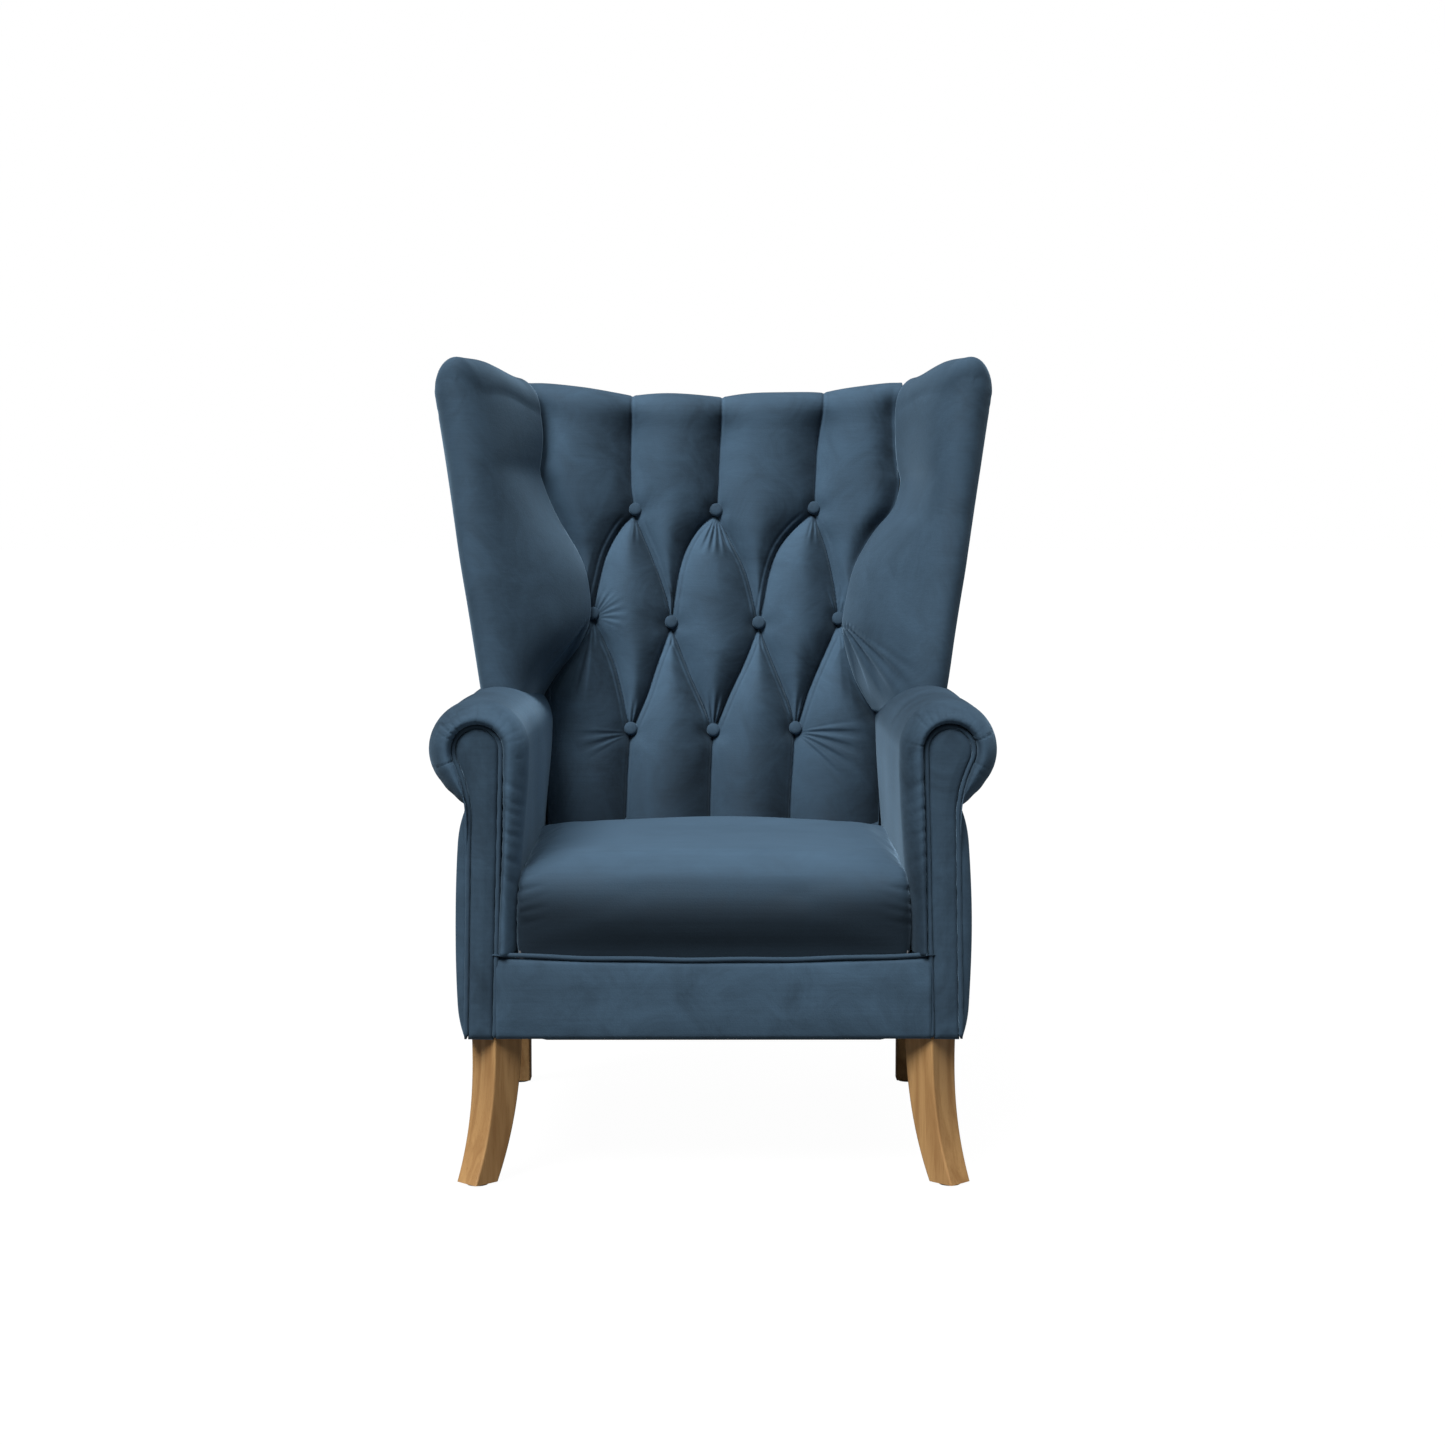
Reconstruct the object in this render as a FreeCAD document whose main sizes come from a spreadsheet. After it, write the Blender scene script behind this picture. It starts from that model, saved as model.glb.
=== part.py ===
import FreeCAD, Part

# A wing armchair with a deep-buttoned back, scroll arms and sabre front legs.
# Row frame: +X to the sitter's left (a viewer's right), +Y to the back, +Z up, origin on the
# floor under the middle of the chair. Millimetres. The right-hand pieces are modelled and the
# left-hand ones are their mirror images.

import math
import os

import Sketcher
from FreeCAD import Placement, Rotation, Vector

DRIVING_SIZES = [
    ("wing_span", 820, "overall width, across the wing tips"),
    ("arm_span", 744, "overall width across the arm rolls"),
    ("chair_depth", 740, "overall depth, front toes to the top of the outside back"),
    ("chair_height", 1100, "overall height, floor to the wing peaks"),
    ("leg_height", 190, "floor to the underside of the seat frame"),
    ("arm_height", 630, "floor to the top of the arm rolls"),
    ("roll_radius", 65, "radius of an arm roll"),
    ("roll_overhang", 44, "how far a roll stands out past the side of the chair"),
    ("seat_height", 432, "floor to the crown of the seat cushion"),
    ("toe_overhang", 8, "how far the front toes stand forward of the arm facings"),
    ("back_drop", 47, "top of the back below the wing peaks"),
    ("back_lean", 120, "run of the outside back from its foot to its top"),
    ("back_pad_depth", 128, "thickness of the back padding at the seat"),
    ("inside_slope", 0.229, "run per rise of the inside back above the seat"),
    ("wing_set_back", 330, "arm facing to the foot of a wing's front edge"),
    ("wing_lean", 70, "run of a wing's front edge from the arm to its tip"),
    ("wing_foot_inset", 36, "foot of a wing's front edge inside the arm's outer face"),
    ("wing_edge", 46, "thickness of a wing at its front edge"),
    ("wing_corner", 60, "radius of a wing's top front corner"),
    ("rail_depth", 95, "depth of the seat rails"),
    ("rail_thickness", 25, "thickness of the seat rails"),
    ("post_thickness", 22, "thickness of an arm's front post"),
    ("upright_width", 40, "width of a back upright"),
    ("upright_depth", 30, "front-to-back size of a back upright"),
    ("wing_board", 18, "thickness of a wing's plywood board"),
    ("panel", 8, "thickness of the padded outside and facing panels"),
    ("cover", 6, "thickness of the outside back panel and the backing padding"),
    ("facing_bulb", 28, "radius of the round head of an arm facing"),
    ("facing_foot", 31, "width of an arm facing at its foot"),
    ("piping", 5.5, "diameter of the piping round the facings"),
    ("inner_pad", 30, "padding of an arm inboard of its post, at the foot"),
    ("cushion_round", 42, "radius of the cushion's upper edges"),
    ("cushion_gap", 3, "clearance between the cushion and what is beside it"),
    ("deck_pad", 12.5, "thickness of the felt pad over the springs"),
    ("button_radius", 9, "radius of a covered button"),
    ("button_height", 8, "height of a covered button's dome"),
    ("tuft_depth", 24, "depth of a button's seat below the pad's crest"),
    ("low_row", 0.205, "height of the low row of buttons, as a share of seat to top"),
    ("mid_row", 0.468, "height of the middle row"),
    ("high_row", 0.738, "height of the top row"),
    ("twine", 2, "diameter of the button twine"),
    ("wire", 3.6, "diameter of the seat spring wire"),
    ("leg_square", 48, "side of a front leg at its top"),
    ("toe_square", 38.5, "side of a front leg at its toe"),
    ("leg_flare", 33, "how far a front leg sweeps out along its diagonal"),
    ("rear_square", 42, "side of a rear leg at its top"),
    ("heel_square", 34, "side of a rear leg at its foot"),
    ("rear_rake", 64, "how far a rear leg rakes back"),
    ("leg_ease", 2.5, "radius of a leg's eased edges"),
    ("glide", 3, "thickness of a felt glide"),
    ("bolt", 8, "diameter of a leg's hanger bolt"),
    ("bolt_reach", 42, "how far a hanger bolt goes into each piece it joins"),
]

doc = FreeCAD.newDocument("wing_armchair")
sheet = doc.addObject("Spreadsheet::Sheet", "sizes")


class Size(float):
    """A number that remembers its spreadsheet formula, so that what is built from it is bound."""

    def __new__(cls, value, formula=None):
        made = super().__new__(cls, value)
        made.formula = formula or repr(float(value))
        return made

    def __add__(self, other):
        return join(self, "+", other)

    def __radd__(self, other):
        return join(other, "+", self)

    def __sub__(self, other):
        return join(self, "-", other)

    def __rsub__(self, other):
        return join(other, "-", self)

    def __mul__(self, other):
        return join(self, "*", other)

    def __rmul__(self, other):
        return join(other, "*", self)

    def __truediv__(self, other):
        return join(self, "/", other)

    def __rtruediv__(self, other):
        return join(other, "/", self)

    def __neg__(self):
        return join(-1.0, "*", self)


def formula_of(number):
    return number.formula if isinstance(number, Size) else repr(float(number))


def join(left, sign, right):
    a, b = float(left), float(right)
    if sign == "+":
        value = a + b
    elif sign == "-":
        value = a - b
    elif sign == "*":
        value = a * b
    else:
        value = a / b
    return Size(value, f"({formula_of(left)} {sign} {formula_of(right)})")


def smaller(left, right):
    """The smaller of two lengths, bound to both."""
    formula = f"min({formula_of(left)}; {formula_of(right)})"
    return Size(min(float(left), float(right)), formula)


def slope_angle(slope):
    """The angle from the upright, as a plain number of degrees, of a run-per-rise slope."""
    return Size(math.degrees(math.atan(slope)), f"(atan({formula_of(slope)}) / 1 deg)")


def fill_sheet():
    """Writes the driving dimensions and gives each its alias."""
    made = {}
    for row, (alias, value, note) in enumerate(DRIVING_SIZES, start=1):
        sheet.set(f"A{row}", alias)
        sheet.set(f"B{row}", str(value))
        sheet.set(f"C{row}", note)
        sheet.setAlias(f"B{row}", alias)
        made[alias] = Size(value, f"sizes.{alias}")
    doc.recompute()
    return made


def bind(obj, path, number):
    obj.setExpression(path, formula_of(number))


def place(obj, base, angle=None, axis=Vector(1, 0, 0)):
    """Binds an object's position, and its turn about one axis."""
    obj.Placement = Placement(Vector(*base), Rotation(axis, float(angle or 0)))
    for letter, number in zip("xyz", base):
        bind(obj, f"Placement.Base.{letter}", number)
    if angle is not None:
        bind(obj, "Placement.Rotation.Angle", angle)
    return obj


# ---------------------------------------------------------------- sketches and features


def start_sketch(body, name, plane, level):
    """A sketch on one of the body's own origin planes, moved along its normal by level."""
    sketch = body.newObject("Sketcher::SketchObject", name)
    support = [f for f in body.Origin.OriginFeatures if f.Role == plane][0]
    sketch.AttachmentSupport = [(support, "")]
    sketch.MapMode = "FlatFace"
    bind(sketch, "AttachmentOffset.Base.z", level)
    return sketch


def pin_point(sketch, curve, point, x, y):
    """Fixes a curve's point at bound coordinates from the sketch's origin."""
    for kind, number in (("DistanceX", x), ("DistanceY", y)):
        index = sketch.addConstraint(
            Sketcher.Constraint(kind, -1, 1, curve, point, float(number))
        )
        bind(sketch, f"Constraints[{index}]", number)


def polygon(body, name, plane, level, corners):
    sketch = start_sketch(body, name, plane, level)
    points = [Vector(float(x), float(y), 0) for x, y in corners]
    count = len(points)
    for k in range(count):
        sketch.addGeometry(Part.LineSegment(points[k], points[(k + 1) % count]))
    for k in range(count):
        sketch.addConstraint(Sketcher.Constraint("Coincident", k, 2, (k + 1) % count, 1))
    for k, (x, y) in enumerate(corners):
        pin_point(sketch, k, 1, x, y)
    return sketch


def new_body(label):
    body = doc.addObject("PartDesign::Body", label)
    body.Label = label
    return body


def pad(body, sketch, length):
    feature = body.newObject("PartDesign::Pad", "Pad")
    feature.Profile = sketch
    bind(feature, "Length", length)
    return feature


def prism(label, plane, low, high, corners):
    """A body: a polygon on a plane, padded from low to high along the plane's own axis.

    XY rises along Z, YZ runs along X, and XZ runs along Y, whose sketch faces -Y.
    """
    body = new_body(label)
    level = -high if plane == "XZ_Plane" else low
    pad(body, polygon(body, "Outline", plane, level, corners), high - low)
    return body


def box(label, x, y, z):
    """A box between (low, high) pairs."""
    made = doc.addObject("Part::Box", label)
    made.Label = label
    for side, (low, high) in zip(("Length", "Width", "Height"), (x, y, z)):
        bind(made, side, high - low)
    return place(made, (x[0], y[0], z[0]))


def cylinder(label, radius, height, base, angle=None, axis=Vector(1, 0, 0)):
    made = doc.addObject("Part::Cylinder", label)
    made.Label = label
    bind(made, "Radius", radius)
    bind(made, "Height", height)
    return place(made, base, angle, axis)


def two_shapes(kind, label, base, tool):
    made = doc.addObject(kind, label)
    made.Label = label
    made.Base = base
    made.Tool = tool
    return made


def common(label, base, tool):
    return two_shapes("Part::Common", label, base, tool)


def cut(label, base, *tools):
    """Cuts the tools away one after another. The last cut carries the label."""
    for number, tool in enumerate(tools, start=1):
        name = label if number == len(tools) else f"{label} cut {number}"
        base = two_shapes("Part::Cut", name, base, tool)
    return base


def fuse(label, pieces):
    made = doc.addObject("Part::MultiFuse", label)
    made.Label = label
    made.Shapes = pieces
    made.Refine = True
    return made


def group(label, pieces):
    """Separate solids that share one node."""
    made = doc.addObject("Part::Compound", label)
    made.Label = label
    made.Links = pieces
    return made


def mirror(label, source):
    made = doc.addObject("Part::Mirroring", label)
    made.Label = label
    made.Source = source
    made.Normal = Vector(1, 0, 0)
    return made


def feature(label, shape):
    made = doc.addObject("Part::Feature", label)
    made.Label = label
    made.Shape = shape
    return made


def round_edges(body, base, radius, wanted):
    """Fillets the edges of a body's feature that wanted(edge) picks."""
    doc.recompute()
    names = [f"Edge{k}" for k, e in enumerate(base.Shape.Edges, start=1) if wanted(e)]
    rounded = body.newObject("PartDesign::Fillet", "Fillet")
    rounded.Base = (base, names)
    bind(rounded, "Radius", radius)
    return rounded


def is_parallel(edge, direction):
    first, last = edge.Vertexes[0].Point, edge.Vertexes[-1].Point
    run = last - first
    return run.Length > 0 and run.normalize().cross(direction).Length < 1e-6


# ---------------------------------------------------------------- places shared by the pieces

D = fill_sheet()

FACE = -(D["chair_depth"] / 2 - D["toe_overhang"])  # y of the arm facings' front
PANEL_BACK = FACE + 2 + D["panel"]  # y behind the facing panel
POST_BACK = PANEL_BACK + D["post_thickness"]
BASE = D["leg_height"]
RAIL_TOP = BASE + D["rail_depth"]
DECK_LOW = RAIL_TOP + D["wire"] + 3  # the springs and their clips lie below it
DECK = DECK_LOW + D["deck_pad"]

ROLL_X = D["arm_span"] / 2 - D["roll_radius"]
ROLL_Z = D["arm_height"] - D["roll_radius"]
ARM_INNER = D["arm_span"] / 2 - 2 * D["roll_radius"]
SIDE = D["arm_span"] / 2 - D["roll_overhang"]  # the chair's side below the rolls
FRAME_SIDE = SIDE - D["panel"]
FRAME_INNER = FRAME_SIDE - D["upright_width"]
FACING_OUT = FRAME_SIDE - 2
FACING_IN = FACING_OUT - D["facing_foot"]
NOTCH_Z = ROLL_Z - 1.2 * D["roll_radius"]  # where the roll tucks in over the side panel
PAD_FOOT = FACING_IN - D["inner_pad"]  # the arm padding's inner face at the deck
PAD_HALF = smaller(ARM_INNER, PAD_FOOT) - 2  # half the back pad's width between the arms
PAD_HALF_TOP = FRAME_INNER + 10  # and where it rolls over the crest rail

BACK_TOP = D["chair_height"] - D["back_drop"]
LEAN = D["back_lean"] / (BACK_TOP - BASE)
BACK_FOOT = D["chair_depth"] / 2 - D["back_lean"]
CREST_TOP = BACK_TOP - 27
WEBBING = D["cover"] + D["rail_thickness"]  # depth of the webbing's rear face
FRAME_FRONT = D["cover"] + D["upright_depth"]


def back_y(z, depth):
    """y of the plane that lies depth in front of the outside back, at height z."""
    return BACK_FOOT + LEAN * (z - BASE) - depth


SEAT_REAR = back_y(D["seat_height"], FRAME_FRONT) - D["back_pad_depth"]


def inside_y(z):
    """y of the padded inside back at height z, above the seat."""
    return SEAT_REAR + D["inside_slope"] * (z - D["seat_height"])


def back_slab(label, x_low, x_high, z_low, z_high, rear, front):
    """A board of the back frame: it leans with the back and is cut level at both ends."""
    corners = [
        (back_y(z_low, front), z_low),
        (back_y(z_low, rear), z_low),
        (back_y(z_high, rear), z_high),
        (back_y(z_high, front), z_high),
    ]
    return prism(label, "YZ_Plane", x_low, x_high, corners)


def side_slab(label, x_low, x_high, z_low, z_high, y_low, rear):
    """A board of the right side, from y_low back to the plane that lies rear in front of the back."""
    corners = [
        (y_low, z_low),
        (back_y(z_low, rear), z_low),
        (back_y(z_high, rear), z_high),
        (y_low, z_high),
    ]
    return prism(label, "YZ_Plane", x_low, x_high, corners)


# ---------------------------------------------------------------- legs, bolts and glides

FRONT_LEG_X = FACING_IN - 3
FRONT_LEG_Y = FACE - D["toe_overhang"] + (D["leg_flare"] + D["toe_square"]) * math.sqrt(0.5)
REAR_LEG_X = FRAME_SIDE - D["rear_square"] / 2 + 1
REAR_LEG_Y = back_y(BASE, D["rear_square"] / 2 + 2)
SECTIONS = (0, 0.25, 0.5, 0.75, 1)  # shares of a leg's height, from the top down


def lofted_leg(label, x, y, turn, top, foot, shift, power, along):
    """A leg of square sections that sweep by shift along one of its own axes."""
    body = new_body(label)
    sketches = []
    for share in SECTIONS:
        level = BASE - share * (BASE - D["glide"])
        half = (top + share * (foot - top)) / 2
        sweep = shift * share**power
        across, back = (sweep, Size(0)) if along == "x" else (Size(0), sweep)
        corners = [
            (across - half, back - half),
            (across + half, back - half),
            (across + half, back + half),
            (across - half, back + half),
        ]
        sketches.append(polygon(body, "Section", "XY_Plane", level, corners))
    loft = body.newObject("PartDesign::AdditiveLoft", "Loft")
    loft.Profile = sketches[0]
    loft.Sections = sketches[1:]
    round_edges(body, loft, D["leg_ease"], lambda e: e.BoundBox.ZLength > float(BASE) / 2)
    return place(body, (x, y, Size(0)), Size(turn), Vector(0, 0, 1))


def leg_pieces():
    inset = D["leg_square"] * 0.18
    front_bolt = cylinder(
        "front hanger bolt",
        D["bolt"] / 2,
        2 * D["bolt_reach"],
        (FRONT_LEG_X - inset, FRONT_LEG_Y + inset, BASE - D["bolt_reach"]),
    )
    rear_bolt = cylinder(
        "rear hanger bolt",
        D["bolt"] / 2,
        2 * D["bolt_reach"],
        (REAR_LEG_X, REAR_LEG_Y, BASE - D["bolt_reach"]),
    )
    front = lofted_leg(
        "front leg blank",
        FRONT_LEG_X,
        FRONT_LEG_Y,
        -45,
        D["leg_square"],
        D["toe_square"],
        D["leg_flare"],
        2.4,
        "x",
    )
    rear = lofted_leg(
        "rear leg blank",
        REAR_LEG_X,
        REAR_LEG_Y,
        0,
        D["rear_square"],
        D["heel_square"],
        D["rear_rake"],
        1.2,
        "y",
    )
    sweep = D["leg_flare"] * math.sqrt(0.5)
    glide_radius = D["heel_square"] * 0.4
    glides = [
        cylinder(
            "front glide",
            glide_radius,
            D["glide"],
            (FRONT_LEG_X + sweep, FRONT_LEG_Y - sweep, Size(0)),
        ),
        cylinder(
            "rear glide",
            glide_radius,
            D["glide"],
            (REAR_LEG_X, REAR_LEG_Y + D["rear_rake"], Size(0)),
        ),
    ]
    return front, rear, front_bolt, rear_bolt, glides


def corner_blocks(front_bolt):
    """Glued triangular blocks that carry the legs, inside the seat frame's corners."""
    reach = D["rail_depth"] * 0.85
    inner = FRAME_SIDE - D["rail_thickness"]
    front_face = PANEL_BACK + 2 + D["rail_thickness"]
    rear_face = back_y(BASE, WEBBING)
    top = BASE + D["rail_depth"] * 0.6
    front = prism(
        "front corner block blank",
        "XY_Plane",
        BASE,
        top,
        [(inner, front_face), (inner, front_face + reach), (inner - reach, front_face)],
    )
    front = cut("front corner block", front, front_bolt)
    rear = prism(
        "rear corner block",
        "XY_Plane",
        BASE,
        top,
        [(inner, rear_face - 5), (inner - reach, rear_face - 5), (inner, rear_face - 5 - reach)],
    )
    return [front, rear]


# ---------------------------------------------------------------- the arm's facing outline


def keyhole(body, name, level, grow, closed):
    """The outline of an arm's front: a straight shank that swells into a round head.

    The outer side runs straight up to a waist, then hollows out to meet the head. Every join
    but the two at the foot is smooth, so that piping can follow it.
    """
    head = D["facing_bulb"] + grow
    inner_foot = (FACING_IN - grow, BASE)
    outer_foot = (FACING_OUT + grow, BASE)
    waist = (FACING_OUT + grow - 4, NOTCH_Z - 14)
    foot_in, foot_out, neck, centre = [
        Vector(float(x), float(y), 0)
        for x, y in (inner_foot, outer_foot, waist, (ROLL_X, ROLL_Z))
    ]
    r = float(head)
    shank = (neck - foot_out).normalize()
    outwards = Vector(shank.y, -shank.x, 0)
    gap = neck - centre
    hollow = (gap.Length**2 - r**2) / (2 * (r - outwards.dot(gap)))
    middle = neck + outwards * hollow
    swell = middle - centre
    swell_angle = math.atan2(swell.y, swell.x)
    up = Vector(0, 0, 1)
    sketch = start_sketch(body, name, "XZ_Plane", level)
    sketch.addGeometry(Part.LineSegment(foot_out, neck))
    sketch.addGeometry(
        Part.ArcOfCircle(
            Part.Circle(middle, up, hollow),
            swell_angle + math.pi,
            math.atan2(-outwards.y, -outwards.x) + 2 * math.pi,
        )
    )
    sketch.addGeometry(
        Part.ArcOfCircle(Part.Circle(centre, up, r), swell_angle, math.pi)
    )
    sketch.addGeometry(Part.LineSegment(centre - Vector(r, 0, 0), foot_in))
    sketch.addConstraint(Sketcher.Constraint("Tangent", 0, 2, 1, 2))
    sketch.addConstraint(Sketcher.Constraint("Tangent", 1, 1, 2, 1))
    sketch.addConstraint(Sketcher.Constraint("Tangent", 2, 2, 3, 1))
    pin_point(sketch, 0, 1, *outer_foot)
    pin_point(sketch, 0, 2, *waist)
    pin_point(sketch, 3, 2, *inner_foot)
    pin_point(sketch, 2, 3, ROLL_X, ROLL_Z)
    radius = sketch.addConstraint(Sketcher.Constraint("Radius", 2, r))
    bind(sketch, f"Constraints[{radius}]", head)
    if closed:
        sketch.addGeometry(Part.LineSegment(foot_in, foot_out))
        sketch.addConstraint(Sketcher.Constraint("Coincident", 3, 2, 4, 1))
        sketch.addConstraint(Sketcher.Constraint("Coincident", 4, 2, 0, 1))
    return sketch


def facing_pieces():
    """The arm's front post, the padded panel that covers it, and the piping round the panel."""
    clearance = 0.3
    post = new_body("post blank")
    pad(post, keyhole(post, "Outline", -POST_BACK, 0, True), D["post_thickness"])
    panel = new_body("arm_facing_right")
    pad(panel, keyhole(panel, "Outline", -PANEL_BACK, 0, True), D["panel"])
    trim = new_body("facing_piping_right")
    middle = FACE + 2 + D["piping"] / 2
    spine = keyhole(trim, "Seam", -middle, D["piping"] / 2 + clearance, False)
    profile = start_sketch(trim, "Section", "XY_Plane", BASE)
    profile.addGeometry(Part.Circle(Vector(0, 0, 0), Vector(0, 0, 1), 1))
    pin_point(profile, 0, 3, FACING_OUT + D["piping"] / 2 + clearance, middle)
    radius = profile.addConstraint(Sketcher.Constraint("Radius", 0, 1))
    bind(profile, f"Constraints[{radius}]", D["piping"] / 2)
    sweep = trim.newObject("PartDesign::AdditivePipe", "Sweep")
    sweep.Profile = profile
    sweep.Spine = (spine, ["Edge1", "Edge2", "Edge3", "Edge4"])
    return post, panel, trim


# ---------------------------------------------------------------- frame rails


def seat_frame(post):
    rail_front = PANEL_BACK + 2
    front = box(
        "front rail blank",
        (-FACING_IN, FACING_IN),
        (rail_front, rail_front + D["rail_thickness"]),
        (BASE, RAIL_TOP),
    )
    front = cut("front_rail", front, post, mirror("post blank left", post))
    back = back_slab(
        "back_rail", -FRAME_INNER, FRAME_INNER, BASE, RAIL_TOP, D["cover"], WEBBING
    )
    side = side_slab(
        "side_rail_right",
        FRAME_SIDE - D["rail_thickness"],
        FRAME_SIDE,
        BASE,
        RAIL_TOP,
        POST_BACK,
        FRAME_FRONT,
    )
    return front, back, side


def back_frame(rear_bolt):
    upright = back_slab(
        "upright blank", FRAME_INNER, FRAME_SIDE, BASE, CREST_TOP, D["cover"], FRAME_FRONT
    )
    upright = cut("back_upright_right", upright, rear_bolt)
    crest = back_slab(
        "crest_rail", -FRAME_INNER, FRAME_INNER, CREST_TOP - 100, CREST_TOP, D["cover"], WEBBING
    )
    stay_low = DECK + 30
    stay = back_slab(
        "stay_rail", -FRAME_INNER, FRAME_INNER, stay_low, stay_low + 50, D["cover"], WEBBING
    )
    return upright, crest, stay


def arm_frame():
    top_rail = side_slab(
        "arm_top_rail_right",
        ROLL_X - 17,
        ROLL_X + 17,
        ROLL_Z - 10,
        ROLL_Z + 12,
        POST_BACK,
        FRAME_FRONT,
    )
    tack_low = DECK + 35
    tack_rail = side_slab(
        "arm_tack_rail_right",
        FRAME_SIDE - D["post_thickness"],
        FRAME_SIDE,
        tack_low,
        tack_low + 40,
        POST_BACK,
        FRAME_FRONT,
    )
    return top_rail, tack_rail


# ---------------------------------------------------------------- wings

WING_LOW = ROLL_Z + 12
WIDEST = D["chair_height"] - 45  # height of the wings' widest point
TIP_RISE = WIDEST - D["arm_height"]
TIP_FLARE = (D["wing_span"] / 2 - D["arm_span"] / 2 + D["wing_foot_inset"]) / TIP_RISE
TIP_LEAN = D["wing_lean"] / TIP_RISE


def tip_x(z):
    """x of a wing's outermost edge at height z, up to the widest point."""
    rise = min(z, WIDEST) - D["arm_height"]
    return D["arm_span"] / 2 - D["wing_foot_inset"] + TIP_FLARE * rise


def tip_y(z):
    """y of a wing's front edge at height z."""
    return FACE + D["wing_set_back"] + TIP_LEAN * (z - D["arm_height"])


# Each level: (height, how far the tip draws in, x where the inner face meets the inside back)
BACK_RISE = BACK_TOP - D["seat_height"]
WING_LEVELS = [
    (WING_LOW, 0, PAD_HALF * 0.97),
    (D["seat_height"] + D["mid_row"] * BACK_RISE, 0, PAD_HALF * 0.78),
    (D["seat_height"] + 0.8 * BACK_RISE, 0, PAD_HALF * 1.09),
    (WIDEST, 0, PAD_HALF * 1.12),
    (D["chair_height"] - 15, 10, PAD_HALF * 1.12),
    (D["chair_height"] + 10, 60, PAD_HALF * 1.12),
]


def wing_loft(label, plan):
    """A solid through the plan polygons of the wing's levels."""
    body = new_body(label)
    sketches = [
        polygon(body, "Plan", "XY_Plane", level[0], plan(*level)) for level in WING_LEVELS
    ]
    loft = body.newObject("PartDesign::AdditiveLoft", "Loft")
    loft.Profile = sketches[0]
    loft.Sections = sketches[1:]
    loft.Ruled = True
    return body


def wing_plan(z, draw_in, root):
    """The whole wing in plan: a thick front edge, narrowing from deep in the back's padding."""
    edge = D["wing_edge"]
    rear = back_y(z, FRAME_FRONT + 3.5)
    return [
        (tip_x(z) - draw_in - edge * 0.6, tip_y(z)),
        (tip_x(z) - draw_in, tip_y(z) + edge * 0.4),
        (SIDE, back_y(z, D["cover"])),
        (FRAME_INNER, back_y(z, D["cover"])),
        (FRAME_INNER, rear),
        (root, rear),
        (root, inside_y(z)),
    ]


def cover_plan(z, draw_in, _):
    """The outside wing panel in plan: a thin strip along the wing's outer face."""
    front_y = tip_y(z) + D["wing_edge"] * 0.4
    return [
        (tip_x(z) - draw_in - 4, front_y),
        (tip_x(z) - draw_in, front_y),
        (SIDE, back_y(z, D["cover"])),
        (SIDE - 4, back_y(z, D["cover"])),
    ]


def board_plan(z, draw_in, _):
    """The plywood wing board in plan: it lies a pad's thickness inside the wing's outer face."""
    edge_y = tip_y(z) + D["wing_edge"] * 0.4
    front_y = tip_y(z) + D["wing_edge"]
    tip = tip_x(z) - draw_in
    share = (front_y - edge_y) / (back_y(z, D["cover"]) - edge_y)
    outer = tip - share * (tip - SIDE) - 12
    return [
        (outer - D["wing_board"], front_y),
        (outer, front_y),
        (FRAME_SIDE, back_y(z, FRAME_FRONT)),
        (FRAME_SIDE - D["wing_board"], back_y(z, FRAME_FRONT)),
    ]


def wing_profile(label, drop, corner):
    """The side view of a wing, extruded across it, with its top front corner rounded."""
    top = D["chair_height"] - drop
    front_drop = 3
    corners = [
        (tip_y(WING_LOW) + drop, WING_LOW),
        (tip_y(top - front_drop) + drop, top - front_drop),
        (tip_y(top) + 95, top),
        (back_y(BACK_TOP, 0) - 150, BACK_TOP + 20 - drop),
        (back_y(BACK_TOP, 0) - 96, BACK_TOP - 3 - drop),
        (back_y(BACK_TOP, 0) + 10, BACK_TOP - 6 - drop),
        (back_y(WING_LOW, 0) + 10, WING_LOW),
    ]
    body = new_body(label)
    outline = polygon(body, "Side view", "YZ_Plane", Size(0), corners)
    base = pad(body, outline, D["wing_span"])
    crown = float(top) - float(front_drop)

    def is_front_corner(edge):
        place_z = edge.CenterOfMass.z
        return is_parallel(edge, Vector(1, 0, 0)) and abs(place_z - crown) < 0.1

    round_edges(body, base, corner, is_front_corner)
    return body


# ---------------------------------------------------------------- padding


def arm_blank():
    """A whole arm: its roll, the tuck under the roll, and the padded inner side."""
    far = back_y(D["arm_height"], 0) - FACE
    reach = D["roll_radius"]
    tuck = math.radians(38)
    section = prism(
        "arm side blank",
        "XZ_Plane",
        PANEL_BACK,
        PANEL_BACK + far,
        [
            (PAD_FOOT, DECK),
            (FRAME_SIDE, DECK),
            (FRAME_SIDE, NOTCH_Z),
            (SIDE, NOTCH_Z),
            (ROLL_X + reach * math.cos(tuck), ROLL_Z - reach * math.sin(tuck)),
            (ROLL_X, ROLL_Z),
            (ARM_INNER, ROLL_Z),
        ],
    )
    roll = cylinder(
        "arm roll blank", reach, far, (ROLL_X, PANEL_BACK + far, ROLL_Z), Size(90)
    )
    whole = fuse("arm outline", [section, roll])
    side_view = side_slab(
        "arm side view", Size(0), D["wing_span"], DECK, D["arm_height"], PANEL_BACK, D["cover"]
    )
    return common("arm blank", whole, side_view)


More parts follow.
